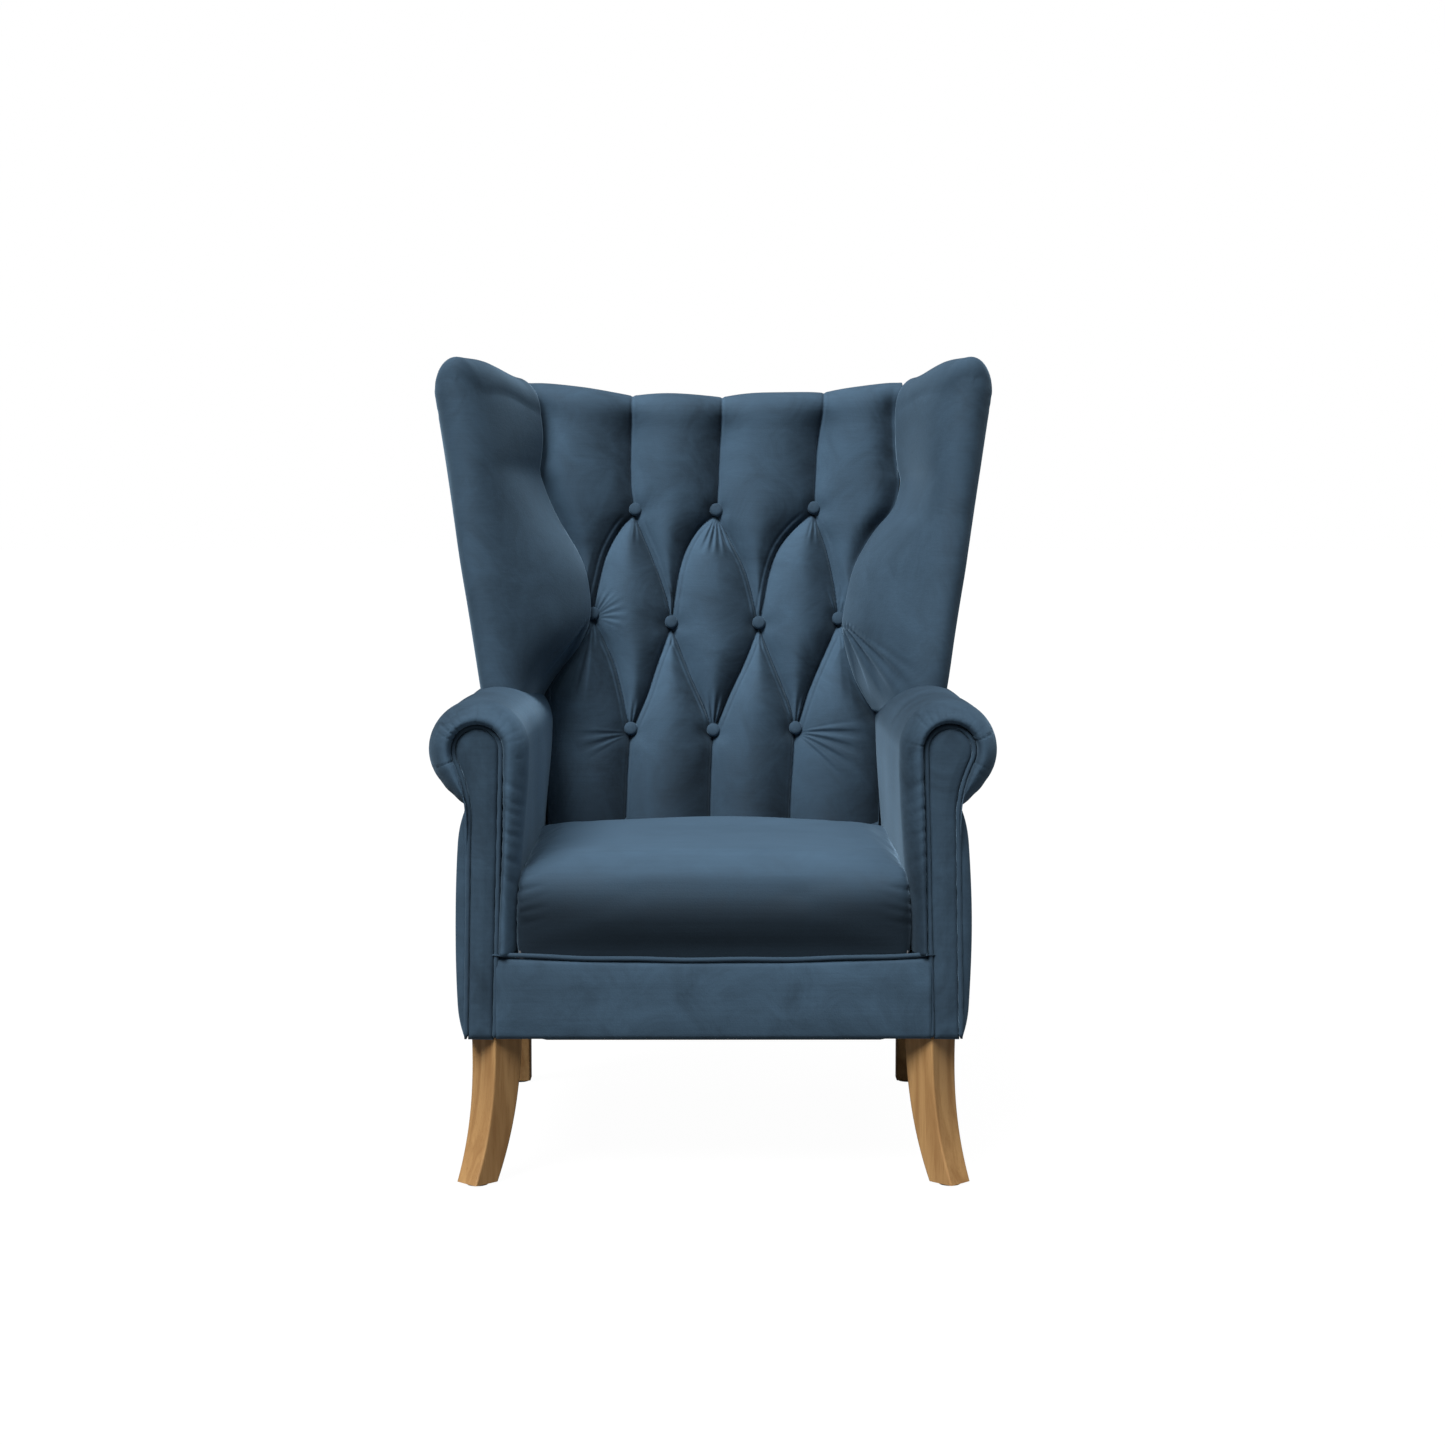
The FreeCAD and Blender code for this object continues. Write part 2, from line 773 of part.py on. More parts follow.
def back_blank():
    """The back padding without its button pits: thick at the seat, rolled over the crest rail."""
    rear = FRAME_FRONT + 3
    seat = D["seat_height"]
    shoulder = BACK_TOP - 34
    corners = [
        (SEAT_REAR, DECK_LOW),
        (SEAT_REAR, seat),
        (inside_y(shoulder), shoulder),
        (inside_y(shoulder) + 34, BACK_TOP),
        (back_y(BACK_TOP, 12), BACK_TOP),
        (back_y(BACK_TOP - 7, 0), BACK_TOP - 7),
        (back_y(CREST_TOP + 12, 0), CREST_TOP + 12),
        (back_y(CREST_TOP + 12, D["cover"]), CREST_TOP + 12),
        (back_y(CREST_TOP, D["cover"]), CREST_TOP),
        (back_y(CREST_TOP, rear), CREST_TOP),
        (back_y(DECK_LOW, rear), DECK_LOW),
    ]
    side_view = prism("back side view", "YZ_Plane", -PAD_HALF_TOP, PAD_HALF_TOP, corners)
    flare_z = D["arm_height"] - 30
    front_view = prism(
        "back front view",
        "XZ_Plane",
        SEAT_REAR - 50,
        D["chair_depth"] / 2 + 50,
        [
            (-PAD_HALF, DECK_LOW),
            (PAD_HALF, DECK_LOW),
            (PAD_HALF, flare_z),
            (PAD_HALF_TOP, BACK_TOP + 5),
            (-PAD_HALF_TOP, BACK_TOP + 5),
            (-PAD_HALF, flare_z),
        ],
    )
    return common("back blank", side_view, front_view)


def seat_cushion():
    front = FACE - 3
    half = PAD_FOOT - D["cushion_gap"] - 6
    body = new_body("seat_cushion")
    low, high = DECK, D["seat_height"]
    rear = SEAT_REAR - D["cushion_gap"]
    corners = [(-half, front), (half, front), (half, rear), (-half, rear)]
    base = pad(body, polygon(body, "Plan", "XY_Plane", low, corners), high - low)
    top = float(high)
    round_edges(
        body,
        base,
        D["cushion_round"],
        lambda e: abs(e.CenterOfMass.z - top) < 0.1 and e.CenterOfMass.y < float(rear) - 1,
    )
    return body


# ---------------------------------------------------------------- buttons and their ties

INSIDE_TILT = slope_angle(D["inside_slope"])


# Three over four over three, tied by hand and so a little uneven. Each button is
# (share of the pad's width from its middle, lift in mm above the row's height).
BUTTON_ROWS = {
    "low": (D["low_row"], [(-0.26, 0), (-0.001, -2), (0.257, 1)]),
    "mid": (D["mid_row"], [(-0.382, 9), (-0.134, -4), (0.143, -5), (0.395, 1)]),
    "high": (D["high_row"], [(-0.25, 0), (0.008, -1), (0.32, 2)]),
}


def button_seats():
    """(name, x, z) of each button."""
    for row, (height, seats) in BUTTON_ROWS.items():
        for number, (across, lift) in enumerate(seats, start=1):
            z = D["seat_height"] + height * BACK_RISE + lift
            yield f"{row}_{number}", 2 * PAD_HALF * across, z


def tuft(name, x, z):
    """One button, the pit that it sits in, its twine and the toggle behind the webbing."""
    alpha = math.atan(D["inside_slope"])
    sin_a, cos_a = math.sin(alpha), math.cos(alpha)
    sink = D["tuft_depth"]
    seat = (x, inside_y(z) + sink * cos_a, z - sink * sin_a)
    turn = 90 - INSIDE_TILT
    button = new_body(f"back_button_{name}")
    profile = start_sketch(button, "Half section", "XZ_Plane", Size(0))
    radius, height = D["button_radius"], D["button_height"]
    points = [(Size(0), Size(0)), (radius, Size(0)), (radius, height * 0.35), (Size(0), height)]
    vectors = [Vector(float(a), float(b), 0) for a, b in points]
    middle = Vector(float(radius) * 0.66, float(height) * 0.82, 0)
    profile.addGeometry(Part.LineSegment(vectors[0], vectors[1]))
    profile.addGeometry(Part.LineSegment(vectors[1], vectors[2]))
    profile.addGeometry(Part.Arc(vectors[2], middle, vectors[3]))
    profile.addGeometry(Part.LineSegment(vectors[3], vectors[0]))
    for k in range(4):
        profile.addConstraint(Sketcher.Constraint("Coincident", k, 2, (k + 1) % 4, 1))
    for k, (a, b) in enumerate(points):
        pin_point(profile, k, 1, a, b)
    flat = profile.addConstraint(Sketcher.Constraint("DistanceX", -1, 1, 2, 3, 0.0))
    bind(profile, f"Constraints[{flat}]", Size(0))
    spin = button.newObject("PartDesign::Revolution", "Revolution")
    spin.Profile = profile
    spin.ReferenceAxis = (profile, ["V_Axis"])
    spin.Angle = 360
    place(button, seat, turn)
    pit = cylinder(f"pit {name}", D["button_radius"] + 3, sink * 2, seat, turn)
    web_y = back_y(seat[2], WEBBING - 1)
    length = (web_y - seat[1]) / (cos_a + LEAN * sin_a)
    start = (x, seat[1] + length * cos_a, seat[2] - length * sin_a)
    twine = cylinder(f"twine {name}", D["twine"] / 2, length, start, turn)
    toggle_size = 3
    knot = (x, start[1] + toggle_size * cos_a, start[2] - toggle_size * sin_a)
    toggle = cylinder(f"toggle {name}", D["button_radius"] * 0.7, Size(toggle_size), knot, turn)
    return button, pit, twine, toggle


# ---------------------------------------------------------------- springs and webbing

SPRINGS = 5
SPRING_PITCH = 30  # front-to-back step of one half wave
SPRING_REACH = 22  # half the width of the wave's straight part


def spring_shape(x, y_low, y_high, z):
    """A sinuous spring: straight bars across, joined by half circles at alternate ends."""
    count = int((y_high - y_low) // SPRING_PITCH)
    step = (y_high - y_low) / count
    edges = []
    for k in range(count + 1):
        side = 1 if k % 2 == 0 else -1
        y = y_low + k * step
        start = Vector(x - side * SPRING_REACH, y, z)
        end = Vector(x + side * SPRING_REACH, y, z)
        edges.append(Part.makeLine(start, end))
        if k < count:
            crown = Vector(x + side * (SPRING_REACH + step / 2), y + step / 2, z)
            edges.append(Part.Arc(end, crown, end + Vector(0, step, 0)).toShape())
    path = Part.Wire(edges)
    start = path.Edges[0].Vertexes[0].Point
    ring = Part.Wire(Part.makeCircle(D["wire"] / 2, start, Vector(1, 0, 0)))
    return path.makePipeShell([ring], True, False)


def seat_suspension():
    """The springs, and a steel clip on the rail over each end bar."""
    z = float(RAIL_TOP + D["wire"] / 2 + 1)
    y_low = float(PANEL_BACK + 2 + D["rail_thickness"] / 2)
    y_high = float(back_y(RAIL_TOP, D["cover"] + D["rail_thickness"] / 2))
    spread = float(PAD_FOOT) * 0.74
    springs, clips = [], []
    for k in range(SPRINGS):
        x = spread * (2 * k / (SPRINGS - 1) - 1)
        spring = spring_shape(x, y_low, y_high, z)
        springs.append(spring)
        for y in (y_low, y_high):
            low = Vector(x - 8, y - 7, float(RAIL_TOP))
            block = Part.makeBox(16, 14, float(DECK_LOW - RAIL_TOP), low)
            clips.append(block.cut(spring))
    return (
        feature("seat_springs", Part.makeCompound(springs)),
        feature("spring_clips", Part.makeCompound(clips)),
    )


def webbing_straps(twines):
    """Elastic straps from the stay rail to the crest rail, pierced by the button twine."""
    straps = []
    for k in range(4):
        x = (k - 1.5) * PAD_HALF * 0.5
        strap = back_slab(
            f"strap {k + 1}", x - 28, x + 28, DECK + 40, CREST_TOP - 20, WEBBING, WEBBING + 2
        )
        straps.append(strap)
    return cut("back_webbing", group("straps", straps), group("twine holes", twines))


# ---------------------------------------------------------------- the whole chair


def build():
    """Makes every piece and returns the ones that are nodes."""
    nodes = []
    front_leg, rear_leg, front_bolt, rear_bolt, glides = leg_pieces()
    front_leg = cut("front_leg_right", front_leg, front_bolt)
    rear_leg = cut("rear_leg_right", rear_leg, rear_bolt)
    blocks = corner_blocks(front_bolt)
    post, panel, trim = facing_pieces()
    front_rail, back_rail, side_rail = seat_frame(post)
    upright, crest, stay = back_frame(rear_bolt)
    top_rail, tack_rail = arm_frame()
    post.Label = "arm_post_right"

    arm = arm_blank()
    back = back_blank()
    board = common(
        "wing_board_right",
        wing_loft("wing board blank", board_plan),
        wing_profile("wing board side view", 32, D["wing_corner"] * 0.6),
    )
    outer_profile = wing_profile("wing side view", 0, D["wing_corner"])
    wing = common("wing outline", wing_loft("wing blank", wing_plan), outer_profile)
    strip = common("wing cover blank", wing_loft("wing strip", cover_plan), outer_profile)
    outside_wing = cut("outside_wing_right", strip, arm)
    wing_pad = cut("wing_pad_right", wing, arm, back, strip, board, upright)
    arm_pad = cut("arm_pad_right", arm, post, top_rail, tack_rail, upright, board, stay)

    outside_arm = side_slab(
        "outside_arm_right", FRAME_SIDE, SIDE, BASE, NOTCH_Z, PANEL_BACK, D["cover"]
    )
    outside_back = back_slab("outside_back", -SIDE, SIDE, BASE, CREST_TOP + 12, 0, D["cover"])

    tufts = [tuft(*seat) for seat in button_seats()]
    buttons = [t[0] for t in tufts]
    pits = group("pits", [t[1] for t in tufts])
    twines = [t[2] for t in tufts]
    back_pad = cut("back_pad", back, pits, group("twine paths", twines))
    ties = group("button_twines", twines + [t[3] for t in tufts])
    webbing = webbing_straps(twines)
    springs, clips = seat_suspension()

    deck_pad = box(
        "seat_deck_pad",
        (-(PAD_FOOT - 4), PAD_FOOT - 4),
        (PANEL_BACK + 4, SEAT_REAR - 2),
        (DECK_LOW, DECK),
    )
    lean = (FACING_IN - ROLL_X + D["facing_bulb"]) * (DECK - BASE) / (ROLL_Z - BASE)
    border_half = FACING_IN - lean - D["piping"] - 1
    piping_z = DECK - D["piping"] / 2 - 1
    border = box(
        "front_border",
        (-border_half, border_half),
        (FACE + 4, PANEL_BACK + 2),
        (BASE, piping_z - D["piping"] / 2),
    )
    border_piping = cylinder(
        "front_piping",
        D["piping"] / 2,
        2 * border_half,
        (-border_half, FACE + 7, piping_z),
        Size(90),
        Vector(0, 1, 0),
    )
    dust = dust_cover()

    pairs = [
        front_leg,
        rear_leg,
        side_rail,
        post,
        top_rail,
        tack_rail,
        upright,
        board,
        arm_pad,
        panel,
        trim,
        outside_arm,
        outside_wing,
        wing_pad,
    ]
    for right in pairs:
        nodes.append(right)
        nodes.append(mirror(right.Label.replace("_right", "_left"), right))
    nodes += [front_rail, back_rail, crest, stay, seat_cushion(), back_pad, outside_back]
    nodes += [webbing, ties, springs, clips, deck_pad, border, border_piping, dust]
    nodes += buttons
    shared = {"corner_blocks": blocks, "leg_glides": glides, "leg_bolts": [front_bolt, rear_bolt]}
    for label, pieces in shared.items():
        both = pieces + [mirror(f"{p.Label} left", p) for p in pieces]
        nodes.append(group(label, both))
    return nodes


def dust_cover():
    """The cloth under the seat frame, with its corners cut away round the legs."""
    half = FRAME_SIDE - 2
    front = PANEL_BACK + 2
    rear = back_y(BASE, D["cover"] + 1)
    leg_half = D["leg_square"] * 0.72
    front_clip = half - (FRONT_LEG_X - leg_half) + (FRONT_LEG_Y - front) + 2
    rear_clip = half - (REAR_LEG_X - D["rear_square"] / 2)
    rear_clip = rear_clip + rear - (REAR_LEG_Y - D["rear_square"] / 2) + 2
    right = [
        (half - front_clip, front),
        (half, front + front_clip),
        (half, rear - rear_clip),
        (half - rear_clip, rear),
    ]
    left = [(-x, y) for x, y in reversed(right)]
    return prism("dust_cover", "XY_Plane", BASE - 1.5, BASE, right + left)


def check_and_write(nodes):
    """Stops if anything failed to build, then writes each node's STEP file."""
    doc.recompute()
    failed = [o.Label for o in doc.Objects if {"Invalid", "Error"} & set(o.State)]
    if failed:
        raise RuntimeError(f"these objects did not build: {failed}")
    os.makedirs("parts", exist_ok=True)
    for old in os.listdir("parts"):
        os.remove(os.path.join("parts", old))
    for node in nodes:
        shape = node.Shape
        if shape.isNull() or not shape.isValid() or not shape.Solids:
            raise RuntimeError(f"{node.Label} has no valid solid")
        shape.exportStep(os.path.join("parts", f"{node.Label}.step"))
        bounds = shape.BoundBox
        print(
            f"{node.Label:24s} {len(shape.Solids):3d} solids {shape.Volume / 1000:9.1f} cm3 "
            f"{bounds.XLength:6.1f} x {bounds.YLength:6.1f} x {bounds.ZLength:6.1f} mm"
        )


check_and_write(build())
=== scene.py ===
# %% [markdown]
# # A wing armchair in steel-blue velvet
#
# The chair has a deep-buttoned back between two tall wings, two scroll arms with piped facings, a
# plump seat, a plain border under a piped seam, and four oak legs. The wooden frame, the springs
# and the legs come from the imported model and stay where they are. The covers and the padding are
# made here, each as its own piece over the solid that stands for it.

import math

import bmesh
import bpy
import numpy as np
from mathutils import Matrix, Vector


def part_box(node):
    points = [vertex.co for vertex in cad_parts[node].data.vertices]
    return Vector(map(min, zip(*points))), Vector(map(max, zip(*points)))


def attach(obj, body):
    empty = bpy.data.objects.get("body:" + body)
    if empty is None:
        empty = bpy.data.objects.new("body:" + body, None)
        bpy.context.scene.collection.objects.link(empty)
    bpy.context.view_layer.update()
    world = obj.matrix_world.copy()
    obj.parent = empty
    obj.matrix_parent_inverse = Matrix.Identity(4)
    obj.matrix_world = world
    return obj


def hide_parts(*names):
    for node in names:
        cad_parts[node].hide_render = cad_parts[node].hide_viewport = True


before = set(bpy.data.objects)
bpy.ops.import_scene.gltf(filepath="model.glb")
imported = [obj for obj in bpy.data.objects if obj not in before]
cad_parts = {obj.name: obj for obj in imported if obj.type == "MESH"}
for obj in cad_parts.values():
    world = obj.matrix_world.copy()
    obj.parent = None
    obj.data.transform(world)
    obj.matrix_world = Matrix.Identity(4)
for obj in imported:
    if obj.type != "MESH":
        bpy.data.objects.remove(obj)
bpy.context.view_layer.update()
print("packed nodes:", len(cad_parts))

# %% [markdown]
# ## Measures that the pieces share
#
# Every cover starts from the solid it goes over, so the seams meet. The heights and widths are
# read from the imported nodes: the seam between border and seat, the side of the chair, the arm
# rolls, the plane of the outside back. Two slopes turn a height into a depth, because both the
# outside and the inside of the back lean.

# %% Places read from the nodes
border_low, border_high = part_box("front_border")
arm_low, arm_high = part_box("arm_pad_right")
facing_low, facing_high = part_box("arm_facing_right")
side_low, side_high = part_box("outside_arm_right")
outback_low, outback_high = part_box("outside_back")
pad_low, pad_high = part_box("back_pad")
seat_low, seat_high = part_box("seat_cushion")
wing_low, wing_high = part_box("wing_pad_right")

BASE = border_low.z  # underside of the covers
DECK = arm_low.z  # what the seat cushion lies on
FACE = facing_low.y  # front of the arm facings
SIDE = side_high.x  # side of the chair under the rolls
ARM_REAR = 0.006  # the outside back panel's thickness
ROLL_R = (arm_high.x - arm_low.x) / 2
ROLL_X = (arm_high.x + arm_low.x) / 2
ROLL_Z = arm_high.z - ROLL_R
NOTCH_Z = side_high.z  # where the roll tucks in over the side panel
SEAT_TOP = seat_high.z
REAR_LEAN = (outback_high.y - outback_low.y - ARM_REAR) / (outback_high.z - outback_low.z)
INSIDE_LEAN = 0.229
BOTH = ((-1, "left"), (1, "right"))  # the sides of the chair: sign of x, name
print(f"roll radius {ROLL_R:.3f} at x {ROLL_X:.3f}, z {ROLL_Z:.3f}; rear lean {REAR_LEAN:.4f}")


def rear_y(z, depth=0.0):
    """y of the plane that lies depth in front of the outside back, at height z."""
    return outback_low.y + ARM_REAR + REAR_LEAN * (z - BASE) - depth


def inside_y(z):
    """y of the padded inside back at height z, above the seat."""
    return pad_low.y + INSIDE_LEAN * (z - SEAT_TOP)


# %% [markdown]
# ## Helpers for stuffed pieces
#
# Padding has no flat faces to start from, so its skin is worked out as rows of points round or
# along the piece and joined with four-sided faces. The helpers make such a skin, close its ends,
# turn every face outwards, and smooth a line through a few points as a tailor's curve would.


# %% Skins, lines and smooth steps
def smooth_step(value, low, high):
    """0 below low, 1 above high, and a smooth rise between."""
    t = np.clip((np.asarray(value, float) - low) / (high - low), 0, 1)
    return t * t * (3 - 2 * t)


def tailor_line(points, count):
    """count points evenly spaced along a smooth curve through the given ones."""
    p = np.asarray(points, float)
    padded = np.vstack([2 * p[0] - p[1], p, 2 * p[-1] - p[-2]])
    dense = []
    for k in range(1, len(padded) - 2):
        a, b, c, d = padded[k - 1 : k + 3]
        for t in np.linspace(0, 1, 24, endpoint=False):
            dense.append(
                0.5
                * (
                    2 * b
                    + (c - a) * t
                    + (2 * a - 5 * b + 4 * c - d) * t**2
                    + (3 * b - a - 3 * c + d) * t**3
                )
            )
    dense.append(p[-1])
    return even_line(np.array(dense), count)


def even_line(points, count):
    """count points evenly spaced along straight runs."""
    p = np.asarray(points, float)
    run = np.r_[0, np.cumsum(np.linalg.norm(np.diff(p, axis=0), axis=1))]
    at = np.linspace(0, run[-1], count)
    return np.column_stack([np.interp(at, run, p[:, k]) for k in range(p.shape[1])])


def new_piece(name, points, faces):
    """An object at the origin with these points and faces, all faces outwards and smooth."""
    mesh = bpy.data.meshes.new(name)
    mesh.from_pydata(np.asarray(points).tolist(), [], faces)
    piece = bpy.data.objects.new(name, mesh)
    bpy.context.scene.collection.objects.link(piece)
    tidy_mesh(piece)
    return piece


def tidy_mesh(piece, gap=1e-5):
    """Merges doubles, turns the faces outwards and shades them smooth."""
    made = bmesh.new()
    made.from_mesh(piece.data)
    bmesh.ops.remove_doubles(made, verts=made.verts, dist=gap)
    bmesh.ops.recalc_face_normals(made, faces=made.faces)
    made.to_mesh(piece.data)
    made.free()
    for face in piece.data.polygons:
        face.use_smooth = True


def skin(name, rings, closed=True, caps=(0, -1)):
    """A skin over rows of points; closed joins each row to its own start, caps lists the rows
    that get an end face."""
    rings = np.asarray(rings, float)
    rows, count = rings.shape[:2]
    index = np.arange(rows * count).reshape(rows, count)
    left, right = (index, np.roll(index, -1, axis=1)) if closed else (index[:, :-1], index[:, 1:])
    faces = np.stack([left[:-1], right[:-1], right[1:], left[1:]], -1).reshape(-1, 4).tolist()
    points = [rings.reshape(-1, 3)]
    for row in caps:
        middle = rows * count + len(points) - 1
        points.append(rings[row].mean(axis=0)[None])
        ring = index[row]
        faces += [[int(ring[k]), int(ring[(k + 1) % count]), middle] for k in range(count)]
    return new_piece(name, np.vstack(points), faces)


def read(items, what="co"):
    """The points or the normals of a mesh as an array."""
    flat = np.empty(len(items) * 3)
    items.foreach_get(what, flat)
    return flat.reshape(-1, 3)


def move_to(piece, points):
    piece.data.vertices.foreach_set("co", points.ravel())
    piece.data.update()


def push(piece, amount):
    """Moves every point along its own normal by amount(points, normals), in metres."""
    points = read(piece.data.vertices)
    normals = read(piece.data.vertex_normals, "vector")
    move_to(piece, points + normals * np.asarray(amount(points, normals))[:, None])


def select_none():
    bpy.ops.object.select_all(action="DESELECT")


def apply_modifier(piece, kind, **settings):
    modifier = piece.modifiers.new(kind.title(), kind)
    for key, value in settings.items():
        setattr(modifier, key, value)
    bpy.context.view_layer.objects.active = piece
    bpy.ops.object.modifier_apply(modifier=modifier.name)


def tube(name, line, radius, sides=10):
    """A piping tube along a line of points, with rounded-off ends."""
    line = np.asarray(line, float)
    tangent = np.gradient(line, axis=0)
    tangent /= np.linalg.norm(tangent, axis=1)[:, None]
    rings = []
    side = None
    for k, (point, along) in enumerate(zip(line, tangent)):
        first = np.array([0, 1.0, 0]) if side is None else side
        side = first - along * first.dot(along)
        side /= np.linalg.norm(side)
        other = np.cross(along, side)
        turn = np.linspace(0, 2 * math.pi, sides, endpoint=False)
        end = min(k, len(line) - 1 - k)
        r = radius * (0.55 if end == 0 else 1.0)
        rings.append(point + r * (np.cos(turn)[:, None] * side + np.sin(turn)[:, None] * other))
    return skin(name, rings)


# %% [markdown]
# ## Wiring nodes
#
# A material is a graph: patterns on the object's own coordinates, sums that bend them, and the
# shader that they feed. Written out node by node it is long and hard to read, so a helper takes a
# table of nodes and a list of wires, one to a line. Effects that several materials share become
# node groups, which are built with the same helper.


# %% Nodes, groups and materials from tables
def put(node, settings):
    """Sets a node's own settings, and the values of its inputs by name or number."""
    for key, value in settings.items():
        if isinstance(key, str) and hasattr(node, key):
            setattr(node, key, value)
        else:
            node.inputs[key].default_value = value


def wire(tree, made, nodes, wires):
    """Adds nodes, given as label: (kind, settings), and joins the sockets that wires lists."""

    def socket(sockets, key):
        return sockets[int(key)] if key.isdigit() else sockets[key]

    for number, (label, (kind, settings)) in enumerate(nodes.items()):
        made[label] = tree.nodes.new("ShaderNode" + kind)
        made[label].location = (200 * number - 1600, 300)
        put(made[label], settings)
    for line in wires.strip().splitlines():
        (start, out), (end, into) = (place.strip().split(".", 1) for place in line.split(">"))
        tree.links.new(socket(made[start].outputs, out), socket(made[end].inputs, into))


def make_group(name, takes, gives, nodes, wires):
    group = bpy.data.node_groups.new(name, "ShaderNodeTree")
    for in_out, sockets in (("INPUT", takes), ("OUTPUT", gives)):
        for socket, kind in sockets.items():
            group.interface.new_socket(socket, in_out=in_out, socket_type=f"NodeSocket{kind}")
    ends = {"in": group.nodes.new("NodeGroupInput"), "out": group.nodes.new("NodeGroupOutput")}
    wire(group, ends, nodes, wires)
    return group


def make_material(name, shader, nodes, wires):
    material = bpy.data.materials.new(name)
    material.use_nodes = True
    tree = material.node_tree
    ends = {"shader": tree.nodes["Principled BSDF"], "surface": tree.nodes["Material Output"]}
    put(ends["shader"], shader)
    wire(tree, ends, nodes, wires)
    return material


FINISH_WIRES = """
    finish.Color > shader.Base Color
    finish.Roughness > shader.Roughness
    finish.Height > bump.Height
    bump.Normal > shader.Normal
"""

# %% [markdown]
# ## Velvet
#
# Velvet is a short dense pile on a woven ground. It lightens towards the edge of a form, where the
# sides of the fibres catch the light, so the shader has a strong, fairly tight sheen over a matt
# base. Where a hand has brushed the pile, a soft patch is a little lighter or darker, and the
# ground's weft shows as faint level streaks. Faces turned one way are also lighter and faces
# turned
# the other way darker: partly the way the pile lies, and partly painted light. Some covers darken
# downwards, which is painted shade, low down between the arms and the wings and on the seat's
# front under its nose. The pile is one node group, used by every covered piece, and each cover has
# its own lightest direction, fall and gain; a cover with a higher or lower gain is a lighter or
# darker copy of the one velvet, which is painted light.
# These were tuned and are stronger than in real velvet: part of the light and shade is in
# the colour, and stays there under any light.

# %% The pile group, which also paints light and shade
PILE_AND_LIGHT = make_group(
    "Velvet pile and painted light",
    {
        "Cloth": "Color",
        "Lay": "Vector",
        "Mottle": "Float",
        "Low": "Float",
        "High": "Float",
        "Darkest": "Float",
    },
    {"Color": "Color", "Roughness": "Float", "Height": "Float"},
    {
        "place": ("TexCoord", {}),
        "stretch": ("Mapping", {"Scale": (7, 90, 260)}),
        "weft": ("TexNoise", {"Scale": 1.0, "Detail": 3.0}),
        "brushed": (
            "TexNoise",
            {"Scale": 13.0, "Detail": 9.0, "Roughness": 0.70, "Distortion": 0.9},
        ),
        "fine": ("TexNoise", {"Scale": 420.0, "Detail": 2.0}),
        "patch": ("MapRange", {"From Min": 0.32, "From Max": 0.68}),
        "centred": ("Math", {"operation": "SUBTRACT", 1: 0.5}),
        "mottled": ("Math", {"operation": "MULTIPLY"}),
        "streak": (
            "MapRange",
            {"From Min": 0.3, "From Max": 0.7, "To Min": -0.035, "To Max": 0.035},
        ),
        "both": ("Math", {"operation": "ADD"}),
        # Faces turned the given way are lighter: partly the way the pile lies, partly painted
        # light.
        "along": ("VectorMath", {"operation": "DOT_PRODUCT"}),
        "nap": ("Math", {"operation": "ADD", 1: 1.0}),
        "even": ("Math", {"operation": "ADD"}),
        "level": ("SeparateXYZ", {}),
        # Painted shade: the colour darkens below a given height.
        "fall": ("MapRange", {"interpolation_type": "SMOOTHSTEP"}),
        "gain": ("Math", {"operation": "MULTIPLY"}),
        "colour": ("VectorMath", {"operation": "SCALE"}),
        "rough": ("MapRange", {"To Min": 0.72, "To Max": 0.92}),
        "relief": ("Math", {"operation": "ADD"}),
    },
    """
    place.Object > stretch.Vector
    stretch.Vector > weft.Vector
    place.Object > brushed.Vector
    place.Object > fine.Vector
    brushed.Fac > patch.Value
    patch.Result > centred.0
    centred.Value > mottled.0
    in.Mottle > mottled.1
    weft.Fac > streak.Value
    mottled.Value > both.0
    streak.Result > both.1
    place.Normal > along.0
    in.Lay > along.1
    along.Value > nap.0
    both.Value > even.0
    nap.Value > even.1
    place.Object > level.Vector
    level.Z > fall.Value
    in.Low > fall.From Min
    in.High > fall.From Max
    in.Darkest > fall.To Min
    even.Value > gain.0
    fall.Result > gain.1
    in.Cloth > colour.0
    gain.Value > colour.Scale
    colour.Vector > out.Color
    patch.Result > rough.Value
    rough.Result > out.Roughness
    fine.Fac > relief.0
    weft.Fac > relief.1
    relief.Value > out.Height
    """,
)

print("pile group:", len(PILE_AND_LIGHT.nodes), "nodes")

# %% The velvets
CLOTH = (0.034, 0.062, 0.094)


def make_velvet(name, lay_and_light=(0, 0, 0), fall=(-2, -1, 1), mottle=0.48, sheen=0.40, gain=1.0):
    """A velvet material: the first vector is the way a face points where it is lightest, partly
    the way the pile lies and partly painted light; fall gives the low and high level between which
    it darkens, as painted shade, and the share of its colour left at the low; gain scales the
    cloth colour, and covers given a higher or lower gain are lighter or darker copies, which is
    painted light."""
    pile = {"node_tree": PILE_AND_LIGHT, "Cloth": (*(c * gain for c in CLOTH), 1), "Lay": lay_and_light}
    pile |= {"Mottle": mottle, "Low": fall[0], "High": fall[1], "Darkest": fall[2]}
    shader = {"Sheen Weight": sheen, "Sheen Roughness": 0.38}
    shader |= {"Sheen Tint": (0.44, 0.68, 0.92, 1), "Specular IOR Level": 0.12}
    bump = {"Strength": 0.22, "Distance": 0.0008}
    nodes = {"finish": ("Group", pile), "bump": ("Bump", bump)}
    return make_material(name, shader, nodes, FINISH_WIRES)
